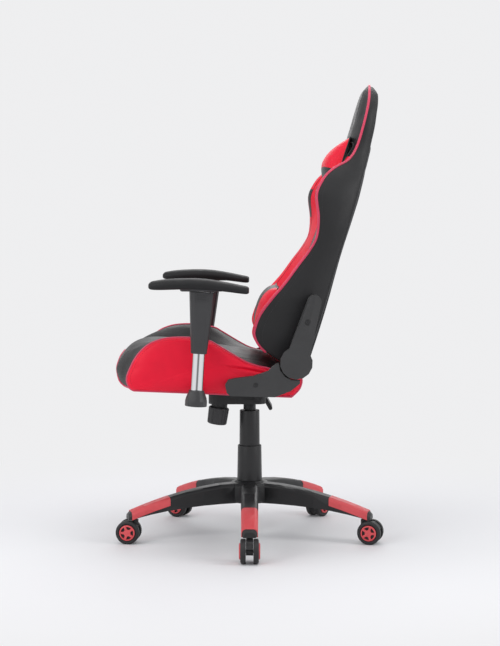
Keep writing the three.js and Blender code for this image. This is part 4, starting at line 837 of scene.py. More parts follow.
def build_bolster(side, name):
    crest = SEAT_HALF_WIDTH - CREST_INSET
    stations = np.concatenate([np.linspace(SEAT_MIDDLE + HAIR, crest, 15)])
    rows = [seat_curve(x) for x in stations]
    count = len(rows[0])
    outline = rows[-1]
    centre = np.array([0, outline[:, 1].mean(), outline[:, 2].mean()])
    domes = through(SIDE_DOME_SHARES, 2)
    for size, bulge in domes[1:]:
        ring = centre + (outline - centre) * size
        ring[:, 0] = crest + CREST_INSET * bulge
        rows.append(ring)
    vertices = np.array([p for row in rows for p in row])
    vertices[:, 0] *= side
    faces = grid_faces(len(rows), count, False, True) + capped(len(rows), count)
    seam = len(stations) - 1
    indices = []
    for face in faces:
        ring = max(v // count for v in face)
        indices.append(0 if ring <= seam else 1)
    piece = new_piece(
        f"seat_side_{name}", vertices, faces, [BLACK_LEATHER, RED_LEATHER], indices
    )
    under = {j for j in range(count) if outline[j][2] < UNDER_RECESS}
    pins = {
        i * count + j: 1.0
        for i in range(len(rows))
        for j in range(count)
        if i in (0, seam) or (j in under and i <= seam) or i > len(rows) - 3
    }
    puffed(piece, pins, 0.005, 3.0)
    seams = [(i * count + j, i * count + j + 1) for i in (0, seam) for j in range(count - 1)]
    crest_line = np.array([piece.data.vertices[seam * count + j].co for j in range(count)])
    subdivided(piece, 1, seams)
    piece.data.transform(SEAT)
    finish_piece(piece, "seat", "red_leather", f"seat_bolster_{name}")

    tree = surface_of(piece)
    piped(
        f"seat_piping_{name}", crest_line, SEAT, "seat", "red_leather", SEAT_PIPE_RADIUS, RED_PIPING_PAINTED_HIGHLIGHT
    )
    panel = centre + (outline - centre) * PANEL_STITCH_SHARE
    panel[:, 0] = crest + CREST_INSET / 2
    panel[:, 0] *= side
    stitch_row(f"seat_stitches_panel_{name}", tree, panel, SEAT, "seat", "red_leather", True)
    for label, x in (("seam", SEAT_MIDDLE + STITCH_MARGIN), ("crest", crest - STITCH_MARGIN)):
        row = seat_curve(x)
        row[:, 0] = side * x
        stitch_row(
            f"seat_stitches_{label}_{name}", tree, row[TOP_RUN], SEAT, "seat", "black_leather"
        )


def build_front_piping():
    """The piping that crosses the nose from one lower corner to the other."""
    crest = SEAT_HALF_WIDTH - CREST_INSET
    points = []
    for x in np.linspace(-crest, crest, 61):
        fall = FRONT_PIPE_TOP * (abs(x) / FRONT_PIPE_REACH) ** FRONT_PIPE_BOW
        height = max(FRONT_PIPE_LOW, FRONT_PIPE_TOP - fall)
        rise = seat_curve(x)[: 5 * SEAT_STEPS]
        points.append([np.interp(height, rise[:, 2], rise[:, k]) for k in range(3)])
    piped(
        "seat_piping_front", points, SEAT, "seat", "red_leather", SEAT_PIPE_RADIUS, RED_PIPING_PAINTED_HIGHLIGHT, False
    )


# Back: from the bottom up, in shares of length, half width, wing front, middle front (of the
# wing reach) and rear face (of the rear depth)
BACK_SHARES = (
    (-0.05, 0.8, -0.06, -0.06, 0.15), (-0.039, 0.87, -0.18, -0.18, 0.46),
    (-0.018, 0.92, -0.28, -0.26, 0.68), (0, 0.94, -0.6, -0.295, 0.69),
    (0.02, 0.957, -0.82, -0.32, 0.7), (0.051, 0.98, -0.976, -0.34, 0.71),
    (0.08, 0.996, -1, -0.355, 0.73), (0.128, 1, -0.965, -0.363, 0.76),
    (0.189, 0.99, -0.82, -0.35, 0.79), (0.25, 0.973, -0.647, -0.318, 0.81),
    (0.32, 0.961, -0.488, -0.273, 0.81), (0.38, 0.955, -0.344, -0.227, 0.815),
    (0.431, 0.961, -0.276, -0.197, 0.835), (0.497, 0.976, -0.344, -0.167, 0.88),
    (0.562, 0.967, -0.495, -0.144, 0.92), (0.592, 0.945, -0.507, -0.129, 0.94),
    (0.641, 0.876, -0.427, -0.114, 0.945), (0.672, 0.802, -0.306, -0.106, 0.95),
    (0.693, 0.736, -0.185, -0.098, 0.945), (0.712, 0.68, -0.064, -0.091, 0.945),
    (0.739, 0.62, 0.02, -0.083, 0.935), (0.764, 0.582, 0.058, -0.076, 0.925),
    (0.798, 0.562, 0.08, -0.076, 0.895), (0.857, 0.55, 0.084, -0.066, 0.85),
    (0.903, 0.512, 0.08, -0.068, 0.77), (0.942, 0.434, 0.068, -0.066, 0.71),
    (0.978, 0.29, 0.045, -0.045, 0.58), (1, 0.12, 0.04, 0.015, 0.31),
)
# Half a section: share of the half width, share of the way from middle to wing front, then
# from wing front to rear
FRONT_SHARES = ((0.34, 0), (0.56, -0.02), (0.72, 0.35), (0.86, 0.84), (0.95, 1))
FLANK_SHARES = ((1, 0.06), (0.985, 0.5), (0.93, 0.84), (0.86, 1))
BACK_ROWS = 120
ROW_CLOSING = 1.25  # the rows draw closer towards the top
EDGE_STEP = 3  # the edge piping's steps behind the front of the wing
PANEL_STEPS = (4, 4, 4, 4)  # steps between points: middle, wing, flank, rear
INSERT_SHARES = (0.5, 0.6)  # heights between which the wings' front strip is black
STRIP_STEPS = 4  # the steps of the wing that make this strip
WING_TOP_SHARE = 0.735
SEWN_SHARES = (0.0, 0.98)  # heights between which the side panels are stitched
SEAM_SHARES = (0.03, 0.7)  # heights between which the strip's seam runs


def back_section(width, wing, middle, rear):
    """Half a section as four runs of points: middle, wing, flank and rear."""
    half = width * BACK_HALF_WIDTH
    wing_front, middle_front = wing * WING_REACH, middle * WING_REACH
    rear_face = rear * REAR_DEPTH
    valley = VALLEY if wing_front < middle_front else 0
    front = [(a * half, middle_front + (wing_front - middle_front) * w) for a, w in FRONT_SHARES]
    front[1] = (front[1][0], front[1][1] + valley)
    flank = [(a * half, wing_front + (rear_face - wing_front) * w) for a, w in FLANK_SHARES]
    start, end = (0, middle_front), (0, rear_face)
    runs = (
        [start, *front[:2]],
        front[1:],
        [front[-1], *flank],
        [flank[-1], (flank[-1][0] / 2, rear_face), end],
    )
    return [through(run, steps) for run, steps in zip(runs, PANEL_STEPS)]


def build_back():
    bottom = BACK_SHARES[0][0]
    heights = 1 - (1 - bottom) * np.linspace(1, 0, BACK_ROWS) ** ROW_CLOSING
    table = follow(BACK_SHARES, heights)
    rows, breaks = [], None
    for height, values in zip(heights, table):
        runs = back_section(*values)
        half = np.concatenate([run[:-1] for run in runs] + [runs[-1][-1:]])
        breaks = np.cumsum([0] + [len(run) - 1 for run in runs])
        mirror = half[1:-1][::-1] * (-1, 1)
        ring = np.concatenate([half, mirror])
        rows.append(np.column_stack([ring, np.full(len(ring), height * BACK_LENGTH)]))
    count = len(rows[0])
    vertices = np.array([p for row in rows for p in row])
    faces = grid_faces(len(rows), count, False, True)
    half_count = breaks[-1]
    for first, turn in ((0, 1), ((len(rows) - 1) * count, -1)):
        for j in range(half_count):
            left = [first + (count - k) % count for k in (j, j + 1)]
            face = list(dict.fromkeys([first + j, first + j + 1, left[1], left[0]]))
            faces.append(face[::turn])

    def half_index(v):
        j = v % count
        return min(j, count - j)

    edge_column = breaks[2] + EDGE_STEP
    indices = []
    for face in faces:
        inner = sum(half_index(v) for v in face) / len(face)
        height = sum(heights[v // count] for v in face) / len(face)
        on_wing = breaks[1] < inner < edge_column and height < WING_TOP_SHARE
        insert = INSERT_SHARES[0] < height < INSERT_SHARES[1]
        strip = inner > breaks[2] - STRIP_STEPS
        indices.append(1 if on_wing and not (insert and strip) else 0)
    piece = new_piece("back_cover", vertices, faces, [BLACK_LEATHER, RED_LEATHER], indices)
    seam_columns = [breaks[1], edge_column, breaks[3]]
    seam_columns += [count - j for j in seam_columns]
    pins = {}
    for v in range(len(vertices)):
        row, j = v // count, v % count
        if j in seam_columns or row in (0, len(rows) - 1):
            pins[v] = 1.0
        elif breaks[3] < half_index(v):
            pins[v] = 0.6
    puffed(piece, pins, 0.007, 3.0)
    seams = [
        (i * count + j, (i + 1) * count + j) for i in range(len(rows) - 1) for j in seam_columns
    ]
    def column(j, side=1, low=0.0, high=1.0):
        """The points of one column of the mesh, up the left or the right half."""
        at = j if side > 0 else count - j
        return np.array([
            piece.data.vertices[i * count + at].co
            for i in range(len(rows))
            if low <= heights[i] <= high
        ])

    edge = np.concatenate([column(edge_column), column(edge_column, -1)[::-1]])
    rear = {side: column(breaks[3] - 1, side, *SEWN_SHARES) for side in (1, -1)}
    seam = {side: column(breaks[2] - STRIP_STEPS, side, *SEAM_SHARES) for side in (1, -1)}
    rows_sewn = {
        (label, side): column(breaks[k] + shift, side, *heights_share)
        for label, k, shift, heights_share in (
            ("flank", 2, EDGE_STEP + 2, SEWN_SHARES),
            ("rear", 3, -2, SEWN_SHARES),
            ("middle", 1, -1, SEAM_SHARES),
            ("wing", 1, 1, SEAM_SHARES),
        )
        for side in (1, -1)
    }
    subdivided(piece, 1, seams)
    cut_slots(piece)
    piece.data.transform(BACK)
    finish_piece(piece, "back", "black_leather", "back_cushion", "back_frame")
    piped("back_piping", edge, BACK, "back", "red_leather", BACK_PIPE_RADIUS, RED_PIPING_PAINTED_HIGHLIGHT)
    tree = surface_of(piece)
    build_slot_rims(tree)
    for side, name in ((1, "left"), (-1, "right")):
        line = np.array([BACK @ Vector(p) for p in rear[side]])
        line, _ = laid_on(tree, evenly_along(line, PIPE_SPACING), -SINK)
        # the rear welt's lighter grey is a painted rim highlight
        welt = tube(f"back_welt_{name}", line, WELT_RADIUS, WELT_PAINTED_RIM_LIGHT)
        finish_piece(welt, "back", "black_leather")
        line = np.array([BACK @ Vector(p) for p in seam[side]])
        line, _ = laid_on(tree, evenly_along(line, PIPE_SPACING), -SINK)
        finish_piece(tube(f"wing_seam_{name}", line, SEAM_RADIUS, SEAM_DARK), "back", "red_leather")
        for label in ("flank", "rear", "middle", "wing"):
            stitch_row(
                f"back_stitches_{label}_{name}",
                tree,
                rows_sewn[label, side],
                BACK,
                "back",
                "red_leather" if label == "wing" else "black_leather",
            )


def slot_outline(side, grow, steps=6):
    left, right = SLOT_INNER - grow, SLOT_OUTER + grow
    bottom, top = SLOT_BOTTOM - grow, SLOT_TOP + grow
    corner = SLOT_CORNER + grow
    points = []
    for x, z, start in (
        (right - corner, bottom + corner, -90),
        (right - corner, top - corner, 0),
        (left + corner, top - corner, 90),
        (left + corner, bottom + corner, 180),
    ):
        for t in np.linspace(0, 90, steps + 1):
            angle = math.radians(start + t)
            points.append((side * (x + corner * math.cos(angle)), z + corner * math.sin(angle)))
    return points


def cut_slots(piece):
    for side in (1, -1):
        outline = slot_outline(side, 0)
        depth = 2 * WING_REACH
        vertices = [(x, y, z) for y in (-depth, depth) for x, z in outline]
        faces = grid_faces(2, len(outline), False, True)
        faces += [list(range(len(outline))), list(range(len(outline), 2 * len(outline)))[::-1]]
        tool = new_piece("slot_tool", vertices, faces, [SEAM_DARK], smooth=False)
        add_modifier(piece, "BOOLEAN", operation="DIFFERENCE", object=tool, solver="EXACT")
        apply_modifiers(piece)
        bpy.data.objects.remove(tool)


def build_slot_rims(tree):
    """Moulded rims round the slots, in front and behind."""
    for side, name in ((1, "left"), (-1, "right")):
        for face, label in ((-1, "front"), (1, "rear")):
            points = []
            for x, z in slot_outline(side, SLOT_RIM):
                start = BACK @ Vector((x, 2 * face * WING_REACH, z))
                aim = BACK @ Vector((x, 0, z)) - start
                points.append(tree.ray_cast(start, aim)[0])
            rim = tube(f"slot_rim_{label}_{name}", points, SLOT_RIM_RADIUS, BLACK_PLASTIC, True)
            finish_piece(rim, "back", "arm_plastic")


# Pillows
def pillow(name, size, shape, is_red, slot, node):
    """Two sewn panels that meet in a welt, red where is_red says so of a face's shares."""
    half_width, bottom, top, _, _ = size
    centre, half_height = (bottom + top) / 2, (top - bottom) / 2
    columns, rows = 40, 28
    grid_x = np.linspace(-1, 1, columns + 1)
    grid_z = np.linspace(-1, 1, rows + 1)
    vertices, index = [], {}
    for face_side in (-1, 1):
        for i, u in enumerate(grid_x):
            for k, w in enumerate(grid_z):
                rim = i in (0, columns) or k in (0, rows)
                if rim and face_side > 0:
                    index[1, i, k] = index[-1, i, k]
                    continue
                corner = (abs(u) * abs(w)) ** 4
                pull_x = 1 - PILLOW_PULL * (1 - w * w) - PILLOW_PULL * corner
                pull_z = 1 - PILLOW_PULL * (1 - u * u) - PILLOW_PULL * corner
                index[face_side, i, k] = len(vertices)
                vertices.append((
                    half_width * u * pull_x,
                    shape(size, u, w, face_side),
                    centre + half_height * w * pull_z,
                ))
    faces, indices = [], []
    for face_side in (-1, 1):
        for i in range(columns):
            for k in range(rows):
                corners = [(i, k), (i + 1, k), (i + 1, k + 1), (i, k + 1)]
                face = [index[face_side, a, b] for a, b in corners]
                faces.append(face[::face_side])
                red = is_red(grid_x[i] + 1 / columns, grid_z[k] + 1 / rows)
                indices.append(1 if red else 0)
    piece = new_piece(name, vertices, faces, [BLACK_LEATHER, RED_LEATHER], indices)
    rim = [(i, 0) for i in range(columns)] + [(columns, k) for k in range(rows)]
    rim += [(columns - i, rows) for i in range(columns)] + [(0, rows - k) for k in range(rows)]
    rim_vertices = [index[-1, i, k] for i, k in rim]
    pins = {index[1, i, k]: 1.0 for i in range(columns + 1) for k in range(rows + 1)}
    puffed(piece, pins, 0.006, 5.0)
    seams = list(zip(rim_vertices, rim_vertices[1:] + rim_vertices[:1]))
    line = [piece.data.vertices[v].co.copy() for v in rim_vertices]
    subdivided(piece, 1, seams)
    piece.data.transform(BACK)
    finish_piece(piece, "back", slot, node)
    piped(f"{name}_welt", line, BACK, "back", "black_leather", WELT_RADIUS, BLACK_LEATHER)


def lying_pillow(size, u, w, face_side):
    """A pillow that lies against the headrest: flat behind, fullest in the middle in front."""
    _, _, _, front, _ = size
    rim = NECK_RIM[0] + (NECK_RIM[1] - NECK_RIM[0]) * (w + 1) / 2
    ends = (1 - abs(u) ** 4) ** 0.6
    if face_side > 0:
        return rim + NECK_REAR * ends * (1 - w * w)
    return rim - (front + rim) * (1 - abs(w) ** 1.7) * ends


def full_pillow(size, u, w, face_side):
    """A pillow that is as full behind as in front."""
    _, _, _, front, depth = size
    fullness = ((1 - abs(u) ** 5) * (1 - abs(w) ** 2.6)) ** 0.6
    return depth / 2 - front + face_side * depth / 2 * fullness


def build_pillows():
    pillow(
        "neck_pillow_cover", NECK_PILLOW, lying_pillow, lambda u, w: w > NECK_LOWER_SHARE,
        "red_leather", "neck_pillow",
    )
    pillow(
        "lumbar_pillow_cover", LUMBAR_PILLOW, full_pillow, lambda u, w: abs(u) > LUMBAR_END_SHARE,
        "black_leather", "lumbar_pillow",
    )


# Base and column
def build_base():
    star = refined("base_star", BLACK_PLASTIC, 0.0015)
    finish_piece(star, "base", "base_nylon", "base_star")
    for k in range(1, 6):
        pad = refined(f"foot_pad_{k}", RED_PLASTIC, 0.0008)
        finish_piece(pad, "base", "red_plastic", f"foot_pad_{k}")
    (bottom_radius, bottom), (top_radius, top) = LOWER_COVER
    sleeve = [(top_radius - COVER_WALL, top), (bottom_radius - COVER_WALL, bottom)]
    build_column_cover("lower_cover", "column_cover_lower", "base", LOWER_COVER, sleeve)
    _, top = UPPER_COVER[1]
    roof = top - COVER_WALL
    hood = [(TUBE_BORE, top), (TUBE_BORE, roof), (CYLINDER_BORE, roof), (CYLINDER_BORE, UPPER_COVER[0][1])]
    build_column_cover("upper_cover", "column_cover_upper", "lift", UPPER_COVER, hood)


def build_column_cover(name, node, body, outside, inside):
    """A turned cover: its outside from the bottom up, then its inside from the top down."""
    profile = rounded([inside[-1], *outside, *inside], COVER_LIP)
    cover = lathe(name, profile[:-1], COVER_PLASTIC, closed=True)
    finish_piece(cover, body, "cover_plastic", node)


# Castors
def build_castors():
    foot = WHEEL_RADIUS * math.cos(math.pi / WHEEL_FACETS)
    for k, yaw in enumerate(CASTOR_YAW):
        angle = 2 * math.pi * k / len(CASTOR_YAW)
        place = (
            moved(CASTOR_CIRCLE * math.cos(angle), CASTOR_CIRCLE * math.sin(angle), 0)
            @ Matrix.Rotation(angle + math.radians(yaw), 4, "Z")
            @ moved(CASTOR_TRAIL, 0, foot)
        )
        fork = refined(f"castor_{k + 1}_fork", BLACK_PLASTIC, 0.0008)
        finish_piece(fork, f"castor_{k + 1}", "castor_nylon", f"castor_{k + 1}_fork")
        for side, name in ((1, "left"), (-1, "right")):
            wheel_place = place @ Matrix.Rotation(-side * math.pi / 2, 4, "X")
            wheel_place = wheel_place @ moved(0, 0, WHEEL_SPACING / 2)
            build_wheel(f"castor_{k + 1}_{name}", f"castor_{k + 1}_wheel_{name}", wheel_place, foot)


def build_wheel(body, node, place, radius):
    edge = 0.0022
    tread = lathe(
        f"{node}_tread",
        rounded(
            [
                (AXLE_HOLE, 0.001),
                (radius - 3 * edge, 0.001),
                (radius - 3 * edge, 0),
                (radius, 0),
                (radius, WHEEL_WIDTH - edge),
                (radius - 2 * edge, WHEEL_WIDTH),
                (CAP_RADIUS + edge, WHEEL_WIDTH),
                (CAP_RADIUS + edge / 2, WHEEL_WIDTH - edge),
                (AXLE_HOLE, WHEEL_WIDTH - edge),
            ],
            edge / 2,
        ),
        TREAD,
        place,
        closed=True,
    )
    finish_piece(tread, body, "castor_tread", node)
    ring = lathe(
        f"{node}_cap_rim",
        rounded(
            [
                (CAP_RADIUS - CAP_RIM, WHEEL_WIDTH - edge),
                (CAP_RADIUS, WHEEL_WIDTH - edge),
                (CAP_RADIUS, WHEEL_WIDTH + WHEEL_BULGE - edge / 2),
                (CAP_RADIUS - CAP_RIM, WHEEL_WIDTH + WHEEL_BULGE),
            ],
            edge / 2,
        ),
        RED_PLASTIC,
        place,
        closed=True,
    )
    hub = lathe(
        f"{node}_cap_hub",
        rounded(
            [
                (0.0001, WHEEL_WIDTH - edge),
                (CAP_HUB, WHEEL_WIDTH - edge),
                (CAP_HUB, WHEEL_WIDTH + WHEEL_BULGE * 0.8),
                (0.0001, WHEEL_WIDTH + WHEEL_BULGE),
            ],
            edge / 2,
        ),
        RED_PLASTIC,
        place,
    )
    parts = [ring, hub]
    for s in range(CAP_SPOKES):
        turn = 2 * math.pi * s / CAP_SPOKES
        half_in, half_out = 0.0032, 0.0032
        low, high = WHEEL_WIDTH - edge, WHEEL_WIDTH + WHEEL_BULGE * 0.86
        reach = CAP_RADIUS - CAP_RIM * 0.6
        corners = [
            (r, side * half, z)
            for z in (low, high)
            for r, half in ((0.004, half_in), (reach, half_out))
            for side in (-1, 1)
        ]
        faces = [(0, 1, 3, 2), (4, 6, 7, 5), (0, 4, 5, 1), (2, 3, 7, 6), (0, 2, 6, 4), (1, 5, 7, 3)]
        spoke = new_piece(
            f"{node}_spoke_{s}",
            corners,
            faces,
            [RED_PLASTIC],
            place=place @ Matrix.Rotation(turn, 4, "Z"),
        )
        add_modifier(spoke, "BEVEL", width=0.0008, segments=2)
        parts.append(apply_modifiers(spoke))
    star = joined(f"{node}_star_cap", parts)
    finish_piece(star, body, "red_plastic")


# Mechanism
def build_mechanism():
    for node, body, material, slot in (
        ("tilt_housing", "lift", BLACK_STEEL, "black_steel"),
        ("seat_frame", "seat", BLACK_STEEL, "black_steel"),
        ("lift_lever", "lift_handle", BLACK_PLASTIC, "knob_plastic"),
        ("recline_lever", "recline_handle", BLACK_PLASTIC, "knob_plastic"),
    ):
        finish_piece(refined(node, material, 0.001), body, slot, node)
    build_knob()
    for node, material in (
        ("gas_cylinder", BLACK_STEEL),
        ("gas_piston_rod", ZINC),
        ("gas_pressure_tube", BLACK_STEEL),
        ("tilt_pin", BLACK_STEEL),
        ("tilt_plate", BLACK_STEEL),
        ("tension_spring", ZINC),
    ):
        repaint(node, material)
    for k in range(1, 6):
        repaint(f"castor_{k}_axle", ZINC)


def repaint(node, material):
    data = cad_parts[node].data
    data.materials.clear()
    data.materials.append(material)


def build_knob():
    top = -CUP_HEIGHT / 2 - HAIR
    bottom = top - KNOB_HEIGHT
    edge = 0.003
    profile = rounded(
        [
            (0.0001, bottom),
            (KNOB_RADIUS - 2 * edge, bottom),
            (KNOB_RADIUS - edge / 2, bottom + edge),
            (KNOB_RADIUS, top - edge),
            (KNOB_RADIUS - edge, top),
            (0.0001, top),
        ],
        edge,
    )
    sides = KNOB_FLUTES * 8
    vertices = []
    for radius, height in profile:
        share = min(1, max(0, (height - bottom) / (2 * edge)), max(0, (top - height) / (3 * edge)))
        outer = share if radius > KNOB_RADIUS - 2 * edge else 0
        for k in range(sides):
            angle = 2 * math.pi * k / sides
            wave = max(0, math.cos(KNOB_FLUTES * angle)) ** 2
            r = radius - FLUTE_DEPTH * wave * outer
            vertices.append((r * math.cos(angle), r * math.sin(angle), height))
    faces = grid_faces(len(profile), sides, False, True)
    faces.append(list(range(sides))[::-1])
    faces.append([len(vertices) - sides + k for k in range(sides)])
    knob = new_piece("knob_cover", vertices, faces, [ARM_PLASTIC], place=SPRING)
    finish_piece(knob, "knob", "knob_plastic", "tension_knob")


# Hinge covers
def build_covers():
    for side, name in ((1, "left"), (-1, "right")):
        for body, (y, z) in (("seat", SEAT_SCREW), ("back", BACK_SCREW)):
            node = f"{body}_hinge_cover_{name}"
            cover = refined(node, HINGE_PLASTIC, 0.0022, 0.012)
            tree = surface_of(cover)
            finish_piece(cover, body, "hinge_plastic", node)
            place, _, _, _ = tree.ray_cast(Vector((side, y, z)), Vector((-side, 0, 0)))
            build_screw_cap(f"{body}_screw_cap_{name}", place, side, body)


def build_screw_cap(name, place, side, body):
    """A plain round cap that hides a hinge screw."""
    turn = Matrix.Rotation(side * math.pi / 2, 4, "Y")
    profile = rounded(
        [
            (HAIR, -SCREW_CAP_RISE),
            (SCREW_CAP_RADIUS, -SCREW_CAP_RISE),
            (SCREW_CAP_RADIUS, SCREW_CAP_RISE / 2),
            (SCREW_CAP_RADIUS * 0.8, SCREW_CAP_RISE),
            (SCREW_CAP_RADIUS * 0.45, SCREW_CAP_RISE),
            (SCREW_CAP_RADIUS * 0.4, SCREW_CAP_RISE / 2),
            (HAIR, SCREW_CAP_RISE / 2),
        ],
        SCREW_CAP_RISE / 2,
    )
    cap = lathe(name, profile, BLACK_PLASTIC, moved(*place) @ turn, FINE_ROUND)
    finish_piece(cap, body, "hinge_plastic")


# Armrests
def oval(width, depth):
    angles = np.linspace(0, 2 * math.pi, ROUND, endpoint=False)
    return [(depth / 2 * math.cos(a), width / 2 * math.sin(a)) for a in angles]


def build_arm(side, name):
    place = arm_frame(side)
    outline = oval(TUBE_WIDTH, TUBE_THICKNESS)
    levels = (ARM_DROP - BAR_THICKNESS, TUBE_TOP)
    vertices = [(x, y, z) for z in levels for x, y in outline]
    count = len(outline)
    faces = grid_faces(2, count, False, True)
    faces += [list(range(count))[::-1], list(range(count, 2 * count))]
    post = new_piece("post", vertices, faces, [CHROME], place=place)
    ends = sorted((side * BAR_INNER, side * (ARM_OFFSET + TUBE_THICKNESS / 2)))
    corners = [
        (x, y, z)
        for z in (-HAIR - BAR_THICKNESS, -HAIR)
        for y in (-ARM_FRONT - BAR_WIDTH / 2, BAR_WIDTH / 2 - ARM_FRONT)
        for x in ends
    ]
    bar = new_piece("bar", corners, BOX_FACES, [CHROME], place=SEAT)
    add_modifier(bar, "BEVEL", width=0.002, segments=3)
    bracket = joined(f"arm_post_{name}", [post, apply_modifiers(bar)])
    finish_piece(bracket, "seat", "chrome_tube", f"arm_bracket_{name}")

    cap = refined(f"arm_foot_cap_{name}", ARM_PLASTIC, 0.001)
    finish_piece(cap, "seat", "arm_plastic", f"arm_foot_cap_{name}")
    sleeve = refined(f"arm_sleeve_{name}", ARM_PLASTIC, 0.0015)
    finish_piece(sleeve, f"sleeve_{name}", "arm_plastic", f"arm_sleeve_{name}")
    repaint(f"arm_button_{name}", ARM_PLASTIC)
    build_pad(side, name)


# Pad from front to rear: share of its length, upper and lower face as shares of the
# thickness, share of the width
PAD_SHARES = (
    (0, 0.66, 0.36, 0.42), (0.02, 0.88, 0.21, 0.68), (0.07, 1, 0.16, 0.86),
    (0.16, 1.12, 0.16, 0.96), (0.3, 1.2, 0.2, 1), (0.45, 1.22, 0.22, 1),
    (0.6, 1.12, 0.14, 0.97), (0.78, 0.84, -0.02, 0.92), (0.93, 0.55, -0.2, 0.86),
    (0.985, 0.44, -0.22, 0.76), (1, 0.3, -0.12, 0.58),
)
# Half a cross-section: share of the half width, share of the way down
PAD_SECTION_SHARES = ((0, 0), (0.55, 0.02), (0.86, 0.16), (1, 0.48), (0.94, 0.84), (0.8, 1))


def build_pad(side, name):
    place = pad_frame(side)
    at = np.concatenate([np.linspace(0, 0.1, 9), np.linspace(0.1, 0.92, 26)[1:], np.linspace(0.92, 1, 8)[1:]])
    rows = []
    for share, (upper, lower, width) in zip(at, follow(PAD_SHARES, at)):
        half = PAD_WIDTH * width / 2
        top, bottom = upper * PAD_THICKNESS, lower * PAD_THICKNESS
        right = [(half * w, top + (bottom - top) * down) for w, down in PAD_SECTION_SHARES]
        right = through(right, 3)
        left = right[1:][::-1] * (-1, 1)
        ring = np.concatenate([right, left])
        rows.append([(x, share * PAD_LENGTH - PAD_FRONT, z) for x, z in ring])
    count = len(rows[0])
    vertices = [p for row in rows for p in row]
    faces = grid_faces(len(rows), count, False, True)
    half_count = count // 2
    for first, turn in ((0, 1), ((len(rows) - 1) * count, -1)):
        for j in range(half_count):
            left = [first + (count - k) % count for k in (j, j + 1)]
            face = list(dict.fromkeys([first + j, first + j + 1, left[1], left[0]]))
            faces.append(face[::turn])
    pad = new_piece(f"arm_pad_skin_{name}", vertices, faces, [PAD_SKIN], place=place)
    subdivided(pad, 1)
    finish_piece(pad, f"pad_{name}", "arm_pad_foam", f"arm_pad_{name}")
    build_plate(name, place)


def build_plate(name, place):
    """The mounting plate between the sleeve and the pad, narrower below."""
    angles = np.linspace(0, 2 * math.pi, ROUND, endpoint=False)
    vertices = []
    for z, inset in ((2 * HAIR, PLATE_TAPER), (PLATE_TOP, 0)):
        for angle in angles:
            x, y = (math.copysign(abs(v) ** 0.35, v) for v in (math.cos(angle), math.sin(angle)))
            vertices.append(((PLATE_WIDTH / 2 - inset) * x, (PLATE_LENGTH / 2 - inset) * y, z))
    count = len(angles)
    faces = grid_faces(2, count, False, True)
    faces += [list(range(count))[::-1], list(range(count, 2 * count))]
    plate = new_piece(f"arm_pad_plate_{name}", vertices, faces, [ARM_PLASTIC], place=place)
    add_modifier(plate, "BEVEL", width=EDGE_ROUND, segments=2, limit_method="ANGLE")
    finish_piece(apply_modifiers(plate), f"pad_{name}", "arm_plastic")


# Floor and light
FLOOR_SIZE = 40
FLOOR_COLOR = (0.86, 0.86, 0.87)
FLOOR_FADE = (0.6, 1.5)  # distances between which the floor passes into the background
SKY_COLOR = (0.95, 0.96, 1)
SKY_STRENGTH = 0.6


def background_rays(tree):
    """1 for the rays that show the background, in the picture and in metal and glass."""
    path = tree.nodes.new("ShaderNodeLightPath")
    total = path.outputs["Is Camera Ray"]
    for ray in ("Is Glossy Ray", "Is Transmission Ray"):
        node = tree.nodes.new("ShaderNodeMath")
        node.operation = "MAXIMUM"
        tree.links.new(total, node.inputs[0])
        tree.links.new(path.outputs[ray], node.inputs[1])
        total = node.outputs[0]
    return total


def mixed(tree, share, first, second, output):
    mixer = tree.nodes.new("ShaderNodeMixShader")
    tree.links.new(share, mixer.inputs[0])
    tree.links.new(first.outputs[0], mixer.inputs[1])
    tree.links.new(second.outputs[0], mixer.inputs[2])
    tree.links.new(mixer.outputs[0], tree.nodes[output].inputs[0])


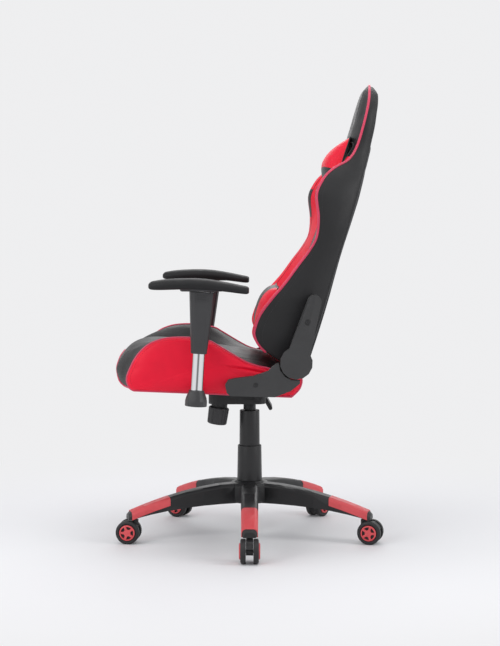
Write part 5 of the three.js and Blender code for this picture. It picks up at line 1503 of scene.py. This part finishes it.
def floor_material():
    """A pale floor that passes into the background's own colour away from the object."""
    shader = Shader("floor", FLOOR_COLOR, 0.7, specular=0.2)
    shader.vary_color(shader.noise(0.8, 3), 0.01)
    tree = shader.tree
    distance = tree.nodes.new("ShaderNodeVectorMath")
    distance.operation = "LENGTH"
    shader.link(shader.place, distance.inputs[0])
    far = shader.ramp(distance.outputs["Value"], 0, 1, *FLOOR_FADE)
    far.node.interpolation_type = "SMOOTHSTEP"
    share = tree.nodes.new("ShaderNodeMath")
    share.operation = "MULTIPLY"
    shader.link(far, share.inputs[0])
    shader.link(background_rays(tree), share.inputs[1])
    glow = tree.nodes.new("ShaderNodeEmission")
    glow.inputs["Color"].default_value = (*FLOOR_COLOR, 1)
    mixed(tree, share.outputs[0], shader.surface, glow, "Material Output")
    return shader.material


def build_stage():
    half = FLOOR_SIZE / 2
    corners = [(-half, -half, 0), (half, -half, 0), (half, half, 0), (-half, half, 0)]
    floor = new_piece("floor", corners, [(0, 1, 2, 3)], [floor_material()], smooth=False)
    world = bpy.data.worlds.new("studio")
    bpy.context.scene.world = world
    world.use_nodes = True
    tree = world.node_tree
    light = tree.nodes["Background"]
    light.inputs["Color"].default_value = (*SKY_COLOR, 1)
    light.inputs["Strength"].default_value = SKY_STRENGTH
    pale = tree.nodes.new("ShaderNodeBackground")
    pale.inputs["Color"].default_value = (*FLOOR_COLOR, 1)
    mixed(tree, background_rays(tree), light, pale, "World Output")


def lamp(name, place, aim, size, power):
    data = bpy.data.lights.new(name, "AREA")
    data.shape = "RECTANGLE"
    data.size, data.size_y = size
    data.energy = power
    light = bpy.data.objects.new(name, data)
    bpy.context.scene.collection.objects.link(light)
    light.location = place
    direction = Vector(aim) - Vector(place)
    light.rotation_euler = direction.to_track_quat("-Z", "Y").to_euler()


def build_lights():
    lamp("overhead", (0.6, 0, 3.2), (0, 0, 0.6), (2.6, 3.2), 25)
    lamp("front", (0.5, -3.4, 2.5), (0, 0, 0.7), (2.0, 2.0), 20)
    lamp("front_side", (2.6, -2.6, 1.9), (0, 0, 0.6), (1.4, 2.2), 32)
    lamp("rear_side", (1.2, 3.0, 1.7), (0, 0, 0.7), (1.2, 2.2), 34)
    lamp("far_side", (-3.0, 0.4, 2.2), (0, 0, 0.7), (2.0, 2.0), 20)


build_stage()
build_lights()
build_base()
build_castors()
build_mechanism()
build_seat()
build_back()
build_pillows()
build_covers()
build_arm(1, "left")
build_arm(-1, "right")

bpy.context.scene.view_settings.view_transform = "Standard"
